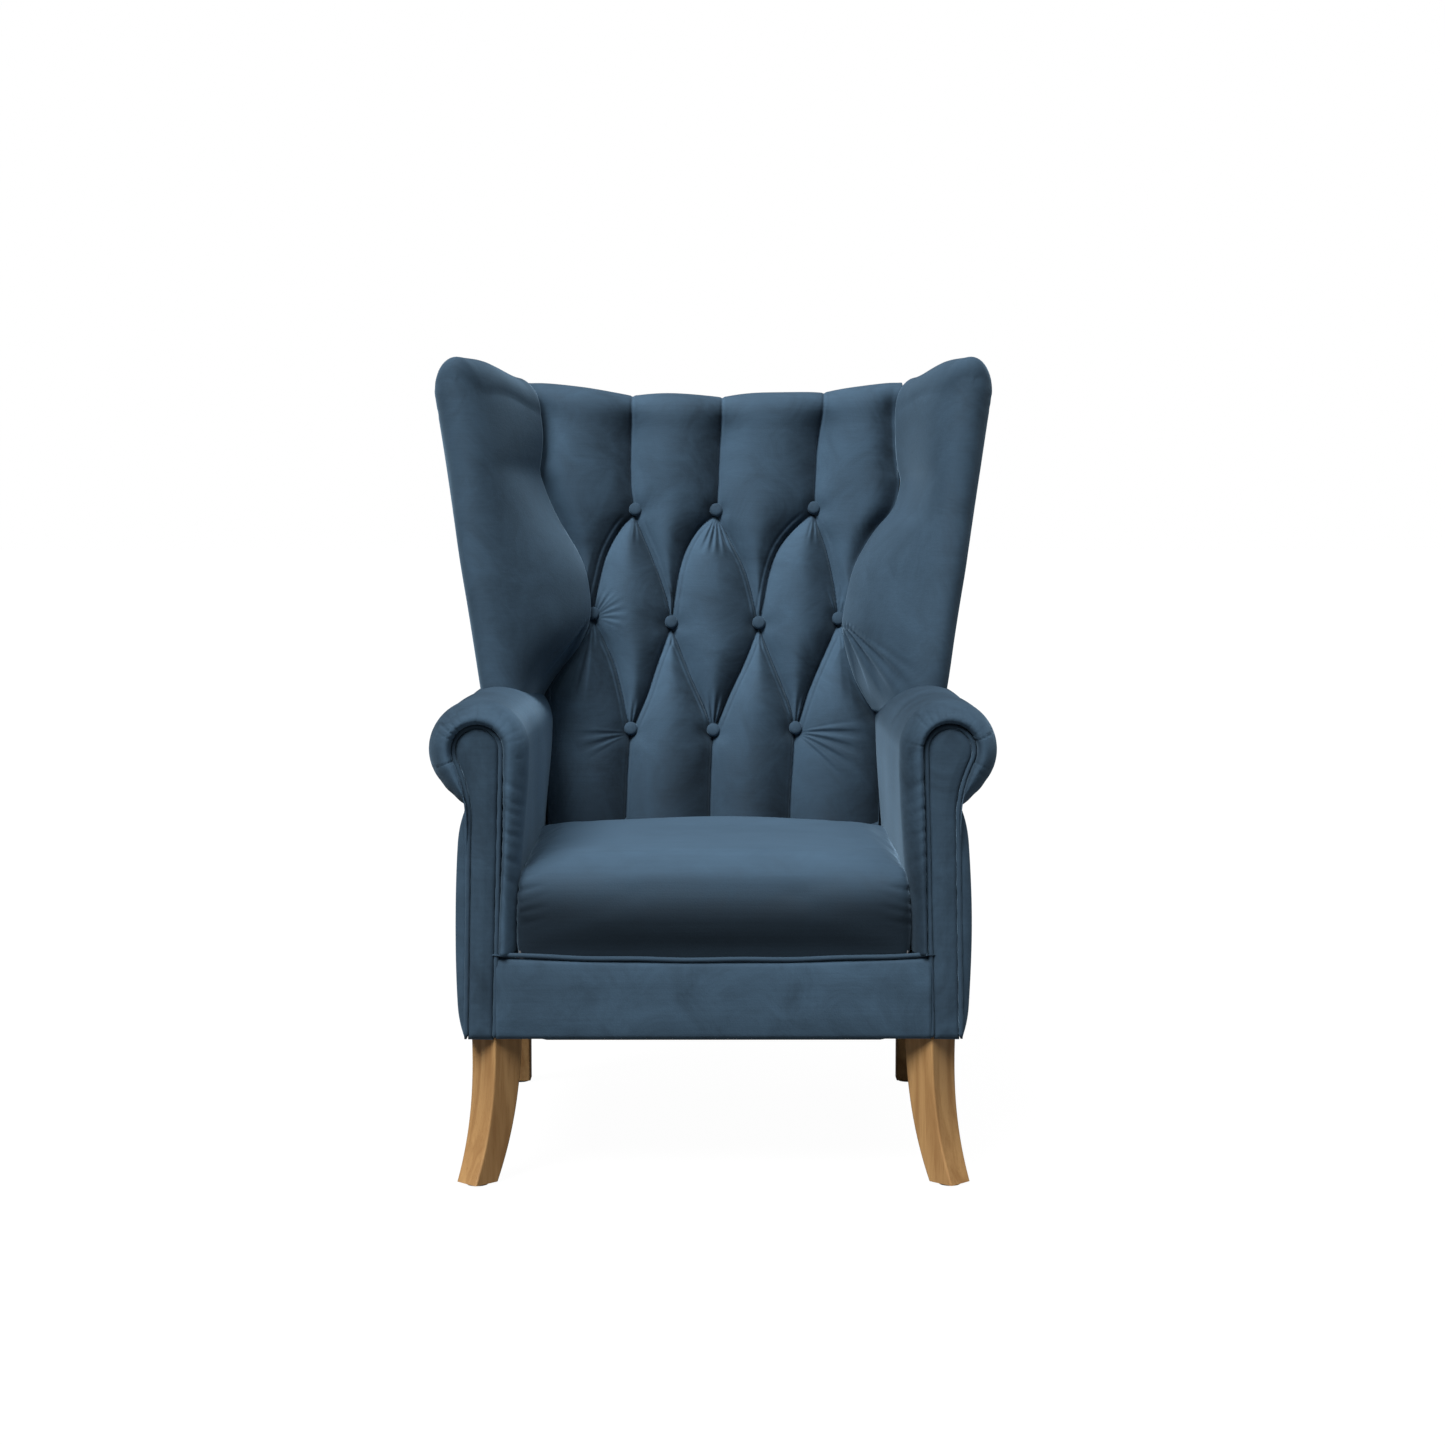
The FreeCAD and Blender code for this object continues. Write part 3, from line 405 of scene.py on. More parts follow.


# Painted light and shade in the velvets below, on top of the way the pile lies: the back and the
# wings are lighter on faces turned left and up, the seat on top, and the arms on faces turned
# right and darker on top; the facings are a little darker in front; the back, the seat's front,
# the wings and the right arm darken low down; and the seat, the arms and the border are lighter
# copies of the cloth.
VELVET = make_velvet("Velvet")
BACK_VELVET = make_velvet("Velvet of the back", (-0.80, 0, 0.30), (0.43, 0.64, 0.55))
SEAT_VELVET = make_velvet(
    "Velvet of the seat", (0, 0, 0.1), (0.350, 0.430, 0.24), 0.2, gain=1.33
)
WING_VELVET = make_velvet("Velvet of the wings", (-0.14, 0.02, 0.16), (0.60, 0.80, 0.85), 0.42)
ARM_VELVETS = {
    "left": make_velvet("Velvet of the left arm", (0.42, -0.05, -0.24), sheen=0.22, gain=1.36),
    "right": make_velvet(
        "Velvet of the right arm", (0.36, 0, -0.24), (0.34, 0.54, 0.66), sheen=0.22, gain=1.18
    ),
}
FACING_VELVET = make_velvet("Velvet of the facings", (0, 0.10, 0))
BORDER_VELVET = make_velvet("Velvet of the border", gain=1.16)
PIPING_VELVET = make_velvet("Piping velvet", mottle=0.10, sheen=0.5, gain=0.95)
print("velvets:", [m.name for m in bpy.data.materials if "elvet" in m.name])


# %% Dressing a piece
def dress(piece, material, nodes):
    """Gives a piece its material and its body, and hides the nodes that it stands for."""
    piece.data.materials.clear()
    piece.data.materials.append(material)
    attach(piece, "root")
    if nodes:
        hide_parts(*nodes)
    print(f"{piece.name}: {len(piece.data.polygons)} faces")
    return piece


# %% [markdown]
# ## The buttoned inside back
#
# Ten buttons pull the velvet down to the webbing, three over four over three, and the cover is
# folded between them: straight pleats run up over the top and down behind the seat, and bowed
# diagonal folds make the diamonds. The whole front is one stuffed sheet, so it is made as a fine
# grid over the leaning back. Each point's height comes from its distance to the nearest fold,
# which gives the round pillows, and the folds get a rolled lip, as spare cloth tucked under has.

# %% Folds and buttons
HIGH = [(-0.121, 0.885), (0.004, 0.8845), (0.154, 0.887)]
MID = [(-0.183, 0.727), (-0.064, 0.7135), (0.069, 0.7135), (0.190, 0.719)]
LOW = [(-0.125, 0.554), (-0.001, 0.552), (0.123, 0.555)]
SEAT_LINE = 0.40

UP_PLEATS = [
    [HIGH[0], (-0.1265, 0.93), (-0.1275, 0.99), (-0.126, 1.05), (-0.125, 1.16)],
    [HIGH[1], (0.0075, 0.93), (0.010, 0.99), (0.013, 1.05), (0.014, 1.16)],
    [HIGH[2], (0.1565, 0.93), (0.161, 0.99), (0.170, 1.05), (0.172, 1.16)],
]
DOWN_PLEATS = [
    [LOW[0], (-0.1285, 0.50), (-0.130, 0.45), (-0.131, SEAT_LINE)],
    [LOW[1], (-0.0035, 0.50), (-0.005, 0.45), (-0.006, SEAT_LINE)],
    [LOW[2], (0.1185, 0.50), (0.115, 0.45), (0.114, SEAT_LINE)],
]
BOWED = [
    [HIGH[0], (-0.1442, 0.860), (-0.1635, 0.823), (-0.1734, 0.785), (-0.1805, 0.750), MID[0]],
    [HIGH[1], (-0.0208, 0.864), (-0.0401, 0.834), (-0.0516, 0.800), (-0.0585, 0.760), MID[1]],
    [HIGH[2], (0.1218, 0.860), (0.0987, 0.830), (0.0848, 0.793), (0.0765, 0.750), MID[2]],
]
STRAIGHT = [
    [HIGH[0], (-0.1018, 0.838), (-0.0864, 0.800), (-0.0709, 0.755), MID[1]],
    [HIGH[1], (0.0293, 0.838), (0.0476, 0.800), (0.0605, 0.755), MID[2]],
    [HIGH[2], (0.1704, 0.838), (0.1797, 0.800), (0.1875, 0.755), MID[3]],
    [MID[0], (-0.153, 0.665), (-0.1379, 0.613), (-0.1310, 0.580), LOW[0]],
    [MID[1], (-0.0848, 0.6575), (-0.0992, 0.613), (-0.1150, 0.5755), LOW[0]],
    [MID[1], (-0.0356, 0.6426), (-0.0188, 0.605), (-0.0070, 0.575), LOW[1]],
    [MID[2], (0.0462, 0.6575), (0.0250, 0.613), (0.0090, 0.575), LOW[1]],
    [MID[2], (0.0970, 0.6426), (0.1121, 0.605), (0.1190, 0.578), LOW[2]],
    [MID[3], (0.1614, 0.6575), (0.1424, 0.613), (0.1300, 0.575), LOW[2]],
]
# Where each wing meets the inside back: (height, distance from the chair's middle).
LEFT_SEAM = [
    (0.42, 0.262), (0.53, 0.268), (0.591, 0.258), (0.627, 0.240), (0.660, 0.215), (0.687, 0.196),
    (0.712, 0.186), (0.742, 0.184), (0.784, 0.190), (0.816, 0.202), (0.843, 0.218), (0.868, 0.233),
    (0.894, 0.246), (0.925, 0.258), (0.944, 0.263), (0.969, 0.260), (1.003, 0.259), (1.041, 0.265),
    (1.075, 0.280), (1.14, 0.300),
]
RIGHT_SEAM = [
    (0.42, 0.262), (0.50, 0.268), (0.552, 0.256), (0.583, 0.236), (0.623, 0.213), (0.665, 0.199),
    (0.700, 0.193), (0.717, 0.1925), (0.760, 0.201), (0.797, 0.211), (0.828, 0.2275),
    (0.856, 0.246), (0.878, 0.266), (0.897, 0.2765), (0.928, 0.283), (0.944, 0.280),
    (0.969, 0.2765), (1.012, 0.2755), (1.041, 0.277), (1.075, 0.286), (1.14, 0.302),
]


SEAM_LINES = {side: tailor_line(table, 240) for side, table in ((-1, LEFT_SEAM), (1, RIGHT_SEAM))}


def seam_x(side, z):
    """Distance from the chair's middle of the seam between wing and back, on a side (-1 or 1)."""
    line = SEAM_LINES[side]
    return np.interp(z, line[:, 0], line[:, 1])


def fold_distance(line, x, u):
    """Distance of each point (x, u) to a smooth fold line, under 0 on the line's right-hand
    side, and the share of the way along the line."""
    path = tailor_line(line, 26)
    best = np.full(x.shape, 9.0)
    share = np.zeros(x.shape)
    sign = np.ones(x.shape)
    for k in range(len(path) - 1):
        ax, au = path[k]
        dx, du = path[k + 1] - path[k]
        t = np.clip(((x - ax) * dx + (u - au) * du) / (dx * dx + du * du), 0, 1)
        away_x, away_u = x - ax - t * dx, u - au - t * du
        gap = np.hypot(away_x, away_u)
        near = gap < best
        best = np.where(near, gap, best)
        share = np.where(near, (k + t) / (len(path) - 1), share)
        sign = np.where(near, np.sign(dx * away_u - du * away_x), sign)
    return best * sign, share


# Fans of fine creases at a button: (centre, direction in degrees from +X, half spread in
# degrees, creases, reach in metres, depth in metres, phase).
FANS = [
    (HIGH[0], -78, 24, 3.2, 0.055, 0.0012, 0.2),
    (HIGH[1], -88, 34, 5.5, 0.075, 0.0026, 1.1),
    (HIGH[2], -82, 30, 4.0, 0.060, 0.0015, 0.5),
    (MID[0], 62, 30, 3.5, 0.055, 0.0012, 0.9),
    (MID[0], 4, 40, 4.5, 0.060, 0.0008, 2.2),
    (MID[0], -78, 30, 4.0, 0.055, 0.0013, 0.4),
    (MID[0], -112, 26, 4.0, 0.150, 0.0022, 1.3),
    (MID[1], 92, 22, 3.5, 0.060, 0.0016, 0.0),
    (MID[1], -92, 22, 3.0, 0.045, 0.0010, 1.7),
    (MID[2], 90, 20, 3.5, 0.055, 0.0015, 0.8),
    (MID[2], -90, 22, 3.0, 0.045, 0.0010, 0.1),
    (MID[3], 96, 28, 4.0, 0.060, 0.0016, 1.4),
    (MID[3], -60, 32, 5.0, 0.150, 0.0024, 2.0),
    (LOW[0], 92, 28, 4.0, 0.060, 0.0016, 0.6),
    (LOW[0], 196, 24, 3.0, 0.090, 0.0011, 0.2),
    (LOW[1], 92, 32, 5.0, 0.070, 0.0020, 1.9),
    (LOW[2], 92, 32, 4.5, 0.065, 0.0018, 0.3),
    (LOW[2], -22, 36, 5.0, 0.120, 0.0019, 1.2),
]


def fan_creases(x, u):
    """The fine creases that run into the buttons, as a height in metres."""
    height = np.zeros(np.shape(x))
    for (cx, cu), heading, spread, count, reach, depth, phase in FANS:
        r = np.hypot(x - cx, u - cu)
        turn = np.degrees(np.arctan2(u - cu, x - cx)) - heading
        turn = (turn + 180) % 360 - 180
        inside = 1 - smooth_step(np.abs(turn), spread * 0.55, spread)
        along = smooth_step(r, 0.006, 0.018) * (1 - smooth_step(r, reach * 0.45, reach))
        wave = np.cos(math.pi * count * turn / spread + phase + 9 * r)
        height = height + depth * inside * along * (np.abs(wave) ** 0.6 * np.sign(wave) - 0.3)
    return height


CREASE = 3.6  # how sharply neighbouring folds blend into one
PILLOW = 0.080  # distance from a fold at which a pillow is full
PIT, PIT_R = 0.008, 0.016  # depth and radius of the pit at a button


def back_height(x, u):
    """How far the cover stands off the back's slope at (x, u), and under 0 in the folds."""
    near = np.zeros(x.shape)
    trim = np.zeros(x.shape)
    for number, line in enumerate(UP_PLEATS + DOWN_PLEATS + BOWED + STRAIGHT):
        gap, share = fold_distance(line, x, u)
        away = np.abs(gap)
        near += (away + 0.0004) ** -CREASE
        ends = smooth_step(share, 0.03, 0.20) * (1 - smooth_step(share, 0.84, 0.98))
        if number < len(UP_PLEATS + DOWN_PLEATS):
            trim -= 0.0030 * np.exp(-((away / 0.0020) ** 2))
            trim += 0.0008 * np.exp(-(((gap + 0.0050) / 0.0022) ** 2))
        else:
            side = 1 if number % 2 else -1
            trim -= 0.0032 * np.exp(-((away / 0.0018) ** 2)) * ends
            trim += 0.0009 * np.exp(-(((gap * side - 0.0046) / 0.0022) ** 2)) * ends
            trim -= 0.0016 * np.exp(-(((gap * side - 0.0090) / 0.0016) ** 2)) * ends
    seam = np.where(x < 0, seam_x(-1, u), seam_x(1, u)) - np.abs(x)
    gap = near ** (-1 / CREASE)
    full = 1 - smooth_step(u, 0.985, 1.080)
    low = smooth_step(u, 0.42, 0.52)
    deep = 0.007 + (0.031 + 0.004 * low) * full
    t = np.clip(gap / PILLOW, 0, 1)
    fill = 0.70 * (1 - (1 - t) ** 2) + 0.30 * np.sqrt(np.clip(1 - (1 - t) ** 2, 0, 1))
    height = 0.011 - deep + deep * fill
    height += trim * (0.35 + 0.65 * full) + fan_creases(x, u)
    for cx, cu in HIGH + MID + LOW:
        r = np.hypot(x - cx, u - cu)
        height -= PIT * np.exp(-((r / PIT_R) ** 2))
    edge = np.clip(seam, 0, 1)
    drawn = np.exp(-((edge / 0.018) ** 1.4)) * (1 - 0.8 * smooth_step(u, 1.01, 1.07))
    height = height - np.clip(height + 0.010, 0, 1) * drawn
    sides = np.clip((np.abs(x) - 0.15) / 0.10, 0, 1) ** 2 * (1 - smooth_step(u, 0.52, 0.66))
    height -= 0.018 * sides
    height -= 0.12 * np.clip(-seam, 0, 0.05)
    height += 0.0012 * np.sin(31 * x + 3) * np.sin(27 * u + 17 * x)
    return height


# %% The stuffed back
SHOULDER = 1.004  # height where the slope starts to turn over the top
BACK_DEPTH = 0.039  # from the outside back's plane to the rear of the padding


def back_profile():
    """(y, z, u, how much the cover moves off the slope) round the back, front to rear."""
    steps = 368
    slope = np.linspace(0.415, SHOULDER, steps, endpoint=False)
    rows = [(inside_y(u), u, u, 1.0) for u in slope]
    top_z, rear_z = pad_high.z + 0.002, pad_high.z - 0.018
    arc = tailor_line(
        [
            (inside_y(SHOULDER), SHOULDER),
            (inside_y(SHOULDER) + 0.0075, top_z - 0.0190),
            (inside_y(SHOULDER) + 0.0250, top_z - 0.0035),
            (inside_y(SHOULDER) + 0.060, top_z),
            (rear_y(top_z) - 0.018, top_z - 0.003),
            (rear_y(rear_z) - 0.003, rear_z),
        ],
        80,
    )
    run = np.r_[0, np.cumsum(np.linalg.norm(np.diff(arc, axis=0), axis=1))]
    for (y, z), s in zip(arc, run):
        rows.append((y, z, SHOULDER + s, 1 - 0.9 * float(smooth_step(s, 0.10, run[-1]))))
    end = SHOULDER + run[-1]
    for depth, z in [(0.001, 1.028), (0.010, 1.0275), (BACK_DEPTH, 1.027), (BACK_DEPTH, 0.90)]:
        rows.append((rear_y(z, depth), z, end, 0.0))
    for z in (0.75, 0.6, 0.45, 0.30):
        rows.append((rear_y(z, BACK_DEPTH), z, end, 0.0))
    for share in (0.35, 0.7):
        low = rear_y(0.30, BACK_DEPTH)
        rows.append((low + (pad_low.y + 0.012 - low) * share, 0.296, end, 0.0))
    for z in (0.30, 0.34, 0.38, 0.40):
        rows.append((pad_low.y + 0.012 * (0.415 - z) / 0.115, z, 0.41, 0.0))
    return np.array(rows)


def make_inside_back():
    profile = back_profile()
    along = np.roll(profile[:, :2], -1, axis=0) - np.roll(profile[:, :2], 1, axis=0)
    along /= np.linalg.norm(along, axis=1)[:, None]
    out_y, out_z = -along[:, 1], along[:, 0]
    count = 361
    across = np.linspace(-1, 1, count)
    half = 0.245 + 0.047 * smooth_step(profile[:, 1], 0.58, 1.04)
    x = across[:, None] * half[None, :]
    u = np.broadcast_to(profile[:, 2], x.shape)
    height = back_height(x, u) * profile[:, 3] - 0.004 * (1 - profile[:, 3])
    rise = 0.0215 * (np.abs(x) / 0.29) ** 2.2 * smooth_step(profile[:, 1], 0.93, 1.035)
    rise = rise * (profile[:, 3] > 0.05)
    rings = np.stack(
        [x, profile[:, 0] + out_y * height, profile[:, 1] + out_z * height + rise], -1
    )
    return skin("inside_back", rings)


dress(make_inside_back(), BACK_VELVET, ["back_pad"])

# %% [markdown]
# ## The wings
#
# Each wing is a plywood board padded on both sides and round its edge. From above it is a long
# wedge with a round nose, and its inner face swells before it tucks into the seam with the back.
# It is made as upright columns of points that start at the nose and run back along the outside
# and the inside together, and over the top the two sides close in a half round.


# %% The shape of a wing
TIP_TOP = wing_high.z - 0.045  # height where a wing is widest
TIP_X, TIP_Z = 0.336, 0.630  # a wing's front edge where it leaves the arm
FLARE = (wing_high.x - TIP_X) / (TIP_TOP - TIP_Z)
TIP_LEAN = 0.1647
WING_REACH = 0.345  # length of a wing's top edge


def tip_x(z):
    return TIP_X + FLARE * (np.minimum(z, TIP_TOP) - TIP_Z)


def tip_y(z):
    return wing_low.y + TIP_LEAN * (z - TIP_Z)


def bezier(p0, p1, p2, p3, count):
    """count points along a curve that leaves p0 towards p1 and comes into p3 from p2."""
    t = np.linspace(0, 1, count)[:, None]
    p0, p1, p2, p3 = (np.asarray(p, float) for p in (p0, p1, p2, p3))
    return (1 - t) ** 3 * p0 + 3 * (1 - t) ** 2 * t * p1 + 3 * (1 - t) * t**2 * p2 + t**3 * p3


def wing_plan(side, z, count):
    """The outer and the inner line of a wing at height z, both from the nose to the rear."""
    tx, ty = tip_x(z), tip_y(z)
    rear = rear_y(z, ARM_REAR)
    upper = float(smooth_step(z, 0.80, 1.0))
    nose = (tx - 0.024 - 0.010 * upper, ty)
    bend = 0.024 + 0.010 * upper
    front = bezier(nose, (tx - bend * 0.45, ty), (tx, ty + bend * 0.55), (tx, ty + bend * 1.5), 12)
    side_run = [
        ((tx * 2 + SIDE - 0.004) / 3, (ty * 2 + rear) / 3 + 0.02),
        ((tx + SIDE * 2 - 0.010) / 3, (ty + rear * 2) / 3),
        (SIDE - 0.005, rear),
    ]
    outer = even_line(np.vstack([front[:-1], tailor_line([front[-1], *side_run], 60)]), count)
    seam = float(seam_x(side, z))
    proud = float(smooth_step(z, 0.80, 1.04))
    crease = inside_y(z) + 0.011
    root = np.array([seam + 0.002, crease - 0.003 - 0.026 * proud])
    depth = root[1] - ty
    swell = 0.020 + 0.014 * proud
    face = bezier(
        nose,
        (nose[0] - 0.052, ty - 0.001),
        (root[0] + swell, root[1] - depth * 0.48),
        root,
        400,
    )
    face = even_line(face, int(count * 0.84))
    tuck = even_line(
        [
            tuple(root),
            (seam + 0.0065, root[1] + 0.008),
            (seam + 0.009, crease + 0.022),
            (max(seam + 0.012, 0.286), rear_y(z, 0.034)),
            (0.300, rear),
        ],
        count - len(face) + 1,
    )
    return outer, np.vstack([face, tuck[1:]])


def wing_top(share):
    """Height of a wing's top edge at a share of the way from the nose to the rear."""
    reach = WING_REACH * np.asarray(share, float)
    corner = 0.046
    front = np.clip(1 - reach / corner, 0, 1)
    top = wing_high.z + 0.006 - corner * (1 - np.sqrt(np.clip(1 - front**2, 0, 1)))
    fall = 0.018 * smooth_step(reach, 0.10, 0.27) + 0.022 * smooth_step(reach, 0.27, WING_REACH)
    return top - fall


def make_wing(side, label):
    count = 96
    rows = 118
    caps = 12
    share = np.linspace(0, 1, count)
    top = wing_top(share)
    low = wing_low.z + 0.004
    levels = np.linspace(low, top.max(), 60)
    plans = [wing_plan(side, z, count) for z in levels]
    outer = np.array([p[0] for p in plans])
    inner = np.array([p[1] for p in plans])

    def at(table, column, z):
        return np.array([np.interp(z, levels, table[:, column, k]) for k in range(2)])

    columns = []
    for c in range(count):
        crown = top[c]
        o, i = at(outer, c, crown), at(inner, c, crown)
        half = np.linalg.norm(o - i) / 2
        ball = min(half * 1.4, 0.070)
        outer_side, inner_side = [], []
        for z in np.linspace(low, crown - ball, rows):
            outer_side.append((*at(outer, c, z), z))
            inner_side.append((*at(inner, c, z), z))
        for turn in np.linspace(0, math.pi / 2, caps)[1:]:
            z = crown - ball + ball * math.sin(turn)
            o, i = at(outer, c, crown - ball), at(inner, c, crown - ball)
            middle, reach = (o + i) / 2, (o - i) / 2
            squash = math.cos(turn)
            outer_side.append((*(middle + reach * squash), z))
            inner_side.append((*(middle - reach * squash), z))
        columns.append(outer_side + inner_side[::-1][1:])
    columns = np.array(columns)
    columns[:, :, 0] *= side
    return skin(f"wing_{label}", columns, caps=(-1,))


def wing_creases(points, normals):
    """Creases that run from the seams over a wing: fans at the buttons, gathers at the top."""
    x, y, z = points.T
    front = smooth_step(-normals[:, 1], 0.0, 0.3)
    height = fan_creases(x, z) * front * 0.9
    side = np.sign(x)
    edge = np.clip((tip_x(z) - np.abs(x)) / 0.05, 0, 1)
    high = smooth_step(z, 0.985, 1.03) * (1 - smooth_step(z, 1.075, 1.09))
    gathers = np.cos(230 * z + 60 * np.abs(x) + 2 * side) * np.cos(97 * z + 1.3)
    height += -0.0006 * np.clip(gathers, 0, 1) * high * (1 - edge) * (y < 0.10)
    height += 0.0014 * np.sin(24 * z + 2 * side) * np.sin(30 * x + 11 * z) * front
    return height


for side, label in BOTH:
    wing = make_wing(side, label)
    push(wing, wing_creases)
    dress(wing, WING_VELVET, [f"wing_pad_{label}"])

# %% [markdown]
# ## The arms
#
# An arm is a board padded into a roll, with the cover drawn over the roll, down inside to the
# deck and out under the roll to a tuck at the side. In front the cover is gathered round the
# facing, which leaves a soft round ring with short creases pointing at the facing's head. The arm
# is one skin: a cross-section carried from the back to the front, and then folded in to the
# facing's outline.

# %% The outline of an arm facing
HEAD_R = 0.028
HOLLOW_R = 0.173
HOLLOW_X, HOLLOW_Z = 0.4873, 0.4754
WAIST_X, WAIST_Z = 0.314, 0.473
FOOT_IN, FOOT_OUT = 0.287, 0.318
TURN_IN = math.pi - math.asin((FOOT_IN - (ROLL_X - HEAD_R)) / (ROLL_Z - BASE))
TURN_OUT = math.atan2(HOLLOW_Z - ROLL_Z, HOLLOW_X - ROLL_X)


def facing_outline(grow, count, low=BASE):
    """The facing's outline from its inner foot, over its head, to its outer foot."""
    r = HEAD_R + grow
    head = [
        (ROLL_X + r * math.cos(a), ROLL_Z + r * math.sin(a))
        for a in np.linspace(TURN_IN, TURN_OUT, 60)
    ]
    hollow_r = HOLLOW_R - grow
    start = math.atan2(ROLL_Z - HOLLOW_Z, ROLL_X - HOLLOW_X)
    end = math.atan2(WAIST_Z - HOLLOW_Z, WAIST_X - HOLLOW_X) % (2 * math.pi)
    hollow = [
        (HOLLOW_X + hollow_r * math.cos(a), HOLLOW_Z + hollow_r * math.sin(a))
        for a in np.linspace(start % (2 * math.pi), end, 24)
    ]
    share = (low - BASE) / (WAIST_Z - BASE)
    foot_out = (FOOT_OUT + grow + (WAIST_X - FOOT_OUT) * share, low)
    share = (low - BASE) / (ROLL_Z - BASE)
    foot_in = (FOOT_IN - grow + (head[0][0] + grow - FOOT_IN) * share, low)
    line = [foot_in] + head + hollow[1:] + [foot_out]
    return even_line(line, count)


outline = facing_outline(0, 12)
print("facing outline from", np.round(outline[0], 3), "to", np.round(outline[-1], 3))


# %% The arms' padding
def facing_sides(z, grow):
    """x of the facing's inner and outer edge at height z below its head."""
    head_x = ROLL_X + HEAD_R * math.cos(TURN_IN)
    inner = FOOT_IN + (head_x - FOOT_IN) * (z - BASE) / (ROLL_Z - BASE)
    low = FOOT_OUT + (WAIST_X - FOOT_OUT) * (z - BASE) / (WAIST_Z - BASE)
    reach = np.clip(HOLLOW_R**2 - (z - HOLLOW_Z) ** 2, 0, 1)
    outer = np.where(z < WAIST_Z, low, HOLLOW_X - np.sqrt(reach))
    return inner - grow, outer + grow


ARM_IN, ARM_OUT = 0.257, 0.3195  # the two feet of an arm's cross-section
ARM_FOOT = DECK - 0.004


def arm_section(count):
    """An arm's cross-section (x, z) in three runs, up the inside, over the roll and down the
    outside, with the angles of the roll's points."""
    inner = tailor_line(
        [(ARM_IN, ARM_FOOT), (0.2545, 0.36), (0.2485, 0.44), (0.2430, 0.52), (0.242, ROLL_Z)],
        int(count * 0.36),
    )[:-1]
    turns = np.radians(np.linspace(180, -40, int(count * 0.40)))
    roll = np.column_stack([ROLL_X + ROLL_R * np.cos(turns), ROLL_Z + ROLL_R * np.sin(turns)])
    tuck = tailor_line(
        [roll[-1], (0.349, 0.5125), (0.3395, 0.504), (0.332, 0.4965), (0.3235, 0.4905)], 14
    )[1:]
    down = even_line([(ARM_OUT, 0.487), (ARM_OUT, ARM_FOOT)], 30)
    return inner, roll, np.vstack([tuck, down]), turns


def drawn_in(parts, grow):
    """Where the cross-section's points meet the facing's outline, grown by so much."""
    inner, _, outer, turns = parts
    share = (turns[0] - turns) / (turns[0] - turns[-1])
    angle = TURN_IN + (TURN_OUT - TURN_IN) * share
    r = HEAD_R + grow
    head = np.column_stack([ROLL_X + r * np.cos(angle), ROLL_Z + r * np.sin(angle)])
    inside = np.column_stack([facing_sides(inner[:, 1], grow)[0], inner[:, 1]])
    top, bottom = head[-1][1], outer[-1][1]
    z = bottom + (top - bottom) * (outer[:, 1] - bottom) / (outer[0][1] - bottom)
    outside = np.column_stack([facing_sides(z, grow)[1], z])
    return np.vstack([inside, head, outside])


def make_arm(side, label):
    parts = arm_section(230)
    under = even_line([(ARM_OUT, ARM_FOOT), (ARM_IN, ARM_FOOT)], 8)[1:-1]
    loop = np.vstack([*parts[:3], under])
    wide, tight = drawn_in(parts, 0.0065), drawn_in(parts, -0.004)
    wide = np.vstack([wide, even_line([wide[-1], wide[0]], 8)[1:-1]])
    tight = np.vstack([tight, even_line([tight[-1], tight[0]], 8)[1:-1]])
    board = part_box("front_rail")[0].y - 0.002  # the plane behind the facing
    turn_in = board + 0.032
    rings = []
    middle = np.array([[ROLL_X - 0.012, 0.45]])
    for inset in (0.55, 0.9, 0.975, 1.0):
        flat = middle + (loop - middle) * inset
        back = rear_y(flat[:, 1], ARM_REAR) - (0.006 if inset == 1.0 else 0.0)
        rings.append(np.column_stack([flat[:, 0], back, flat[:, 1]]))
    last = rings[-1]
    rows = 80
    for share in np.linspace(0, 1, rows)[1:]:
        y = last[:, 1] * (1 - share) + turn_in * share
        rings.append(np.column_stack([loop[:, 0], y, loop[:, 1]]))
    width = np.linalg.norm(loop - wide, axis=1)
    swell = np.clip(0.031 * smooth_step(width, 0.004, 0.030), 0.002, 1)
    for turn in np.linspace(0, math.pi, 34)[1:]:
        share = (1 - math.cos(turn)) / 2
        plan = loop * (1 - share) + wide * share
        y = turn_in * (1 - share) + (board - 0.001) * share - swell * math.sin(turn) ** 0.9
        rings.append(np.column_stack([plan[:, 0], y, plan[:, 1]]))
    for share, y in ((0.5, board + 0.001), (1.0, board + 0.001)):
        plan = wide * (1 - share) + tight * share
        rings.append(np.column_stack([plan[:, 0], np.full(len(plan), y), plan[:, 1]]))
    rings = np.array(rings)
    rings[:, :, 0] *= side
    return skin(f"arm_{label}", rings)


def arm_creases(points, normals):
    """Gathers round the facing's head and fine slanting creases down the inner edge."""
    x, y, z = points.T
    side = np.sign(x)
    from_x, from_z = np.abs(x) - ROLL_X, z - ROLL_Z
    r = np.hypot(from_x, from_z)
    turn = np.arctan2(from_z, from_x)
    ahead = 1 - smooth_step(y, FACE + 0.004, FACE + 0.040)
    head = smooth_step(z, ROLL_Z - 0.045, ROLL_Z - 0.01)
    ring = smooth_step(r, 0.028, 0.036) * head
    wave = np.cos(27 * turn + 2.6 * np.sin(2.3 * turn + side)) + 0.8 * np.cos(61 * turn + side)
    some = 0.35 + 0.65 * smooth_step(np.sin(2.1 * turn * side + 1.9), -0.2, 0.7)
    height = -0.0034 * np.clip(wave - 1.0, 0, 2) * ring * ahead * some
    inner = (from_x < 0) * (1 - head) * smooth_step(z, 0.34, 0.42)
    slant = np.cos(330 * z - 210 * np.abs(x) + 3 * np.sin(40 * z)) + 0.5 * np.cos(190 * z + 1)
    height += -0.0008 * np.clip(slant, 0, 2) * inner * ahead
    height += 0.0010 * np.sin(19 * y + side) * np.sin(23 * z + 7 * y)
    return height


for side, label in BOTH:
    arm = make_arm(side, label)
    push(arm, arm_creases)
    dress(arm, ARM_VELVETS[label], [f"arm_pad_{label}"])

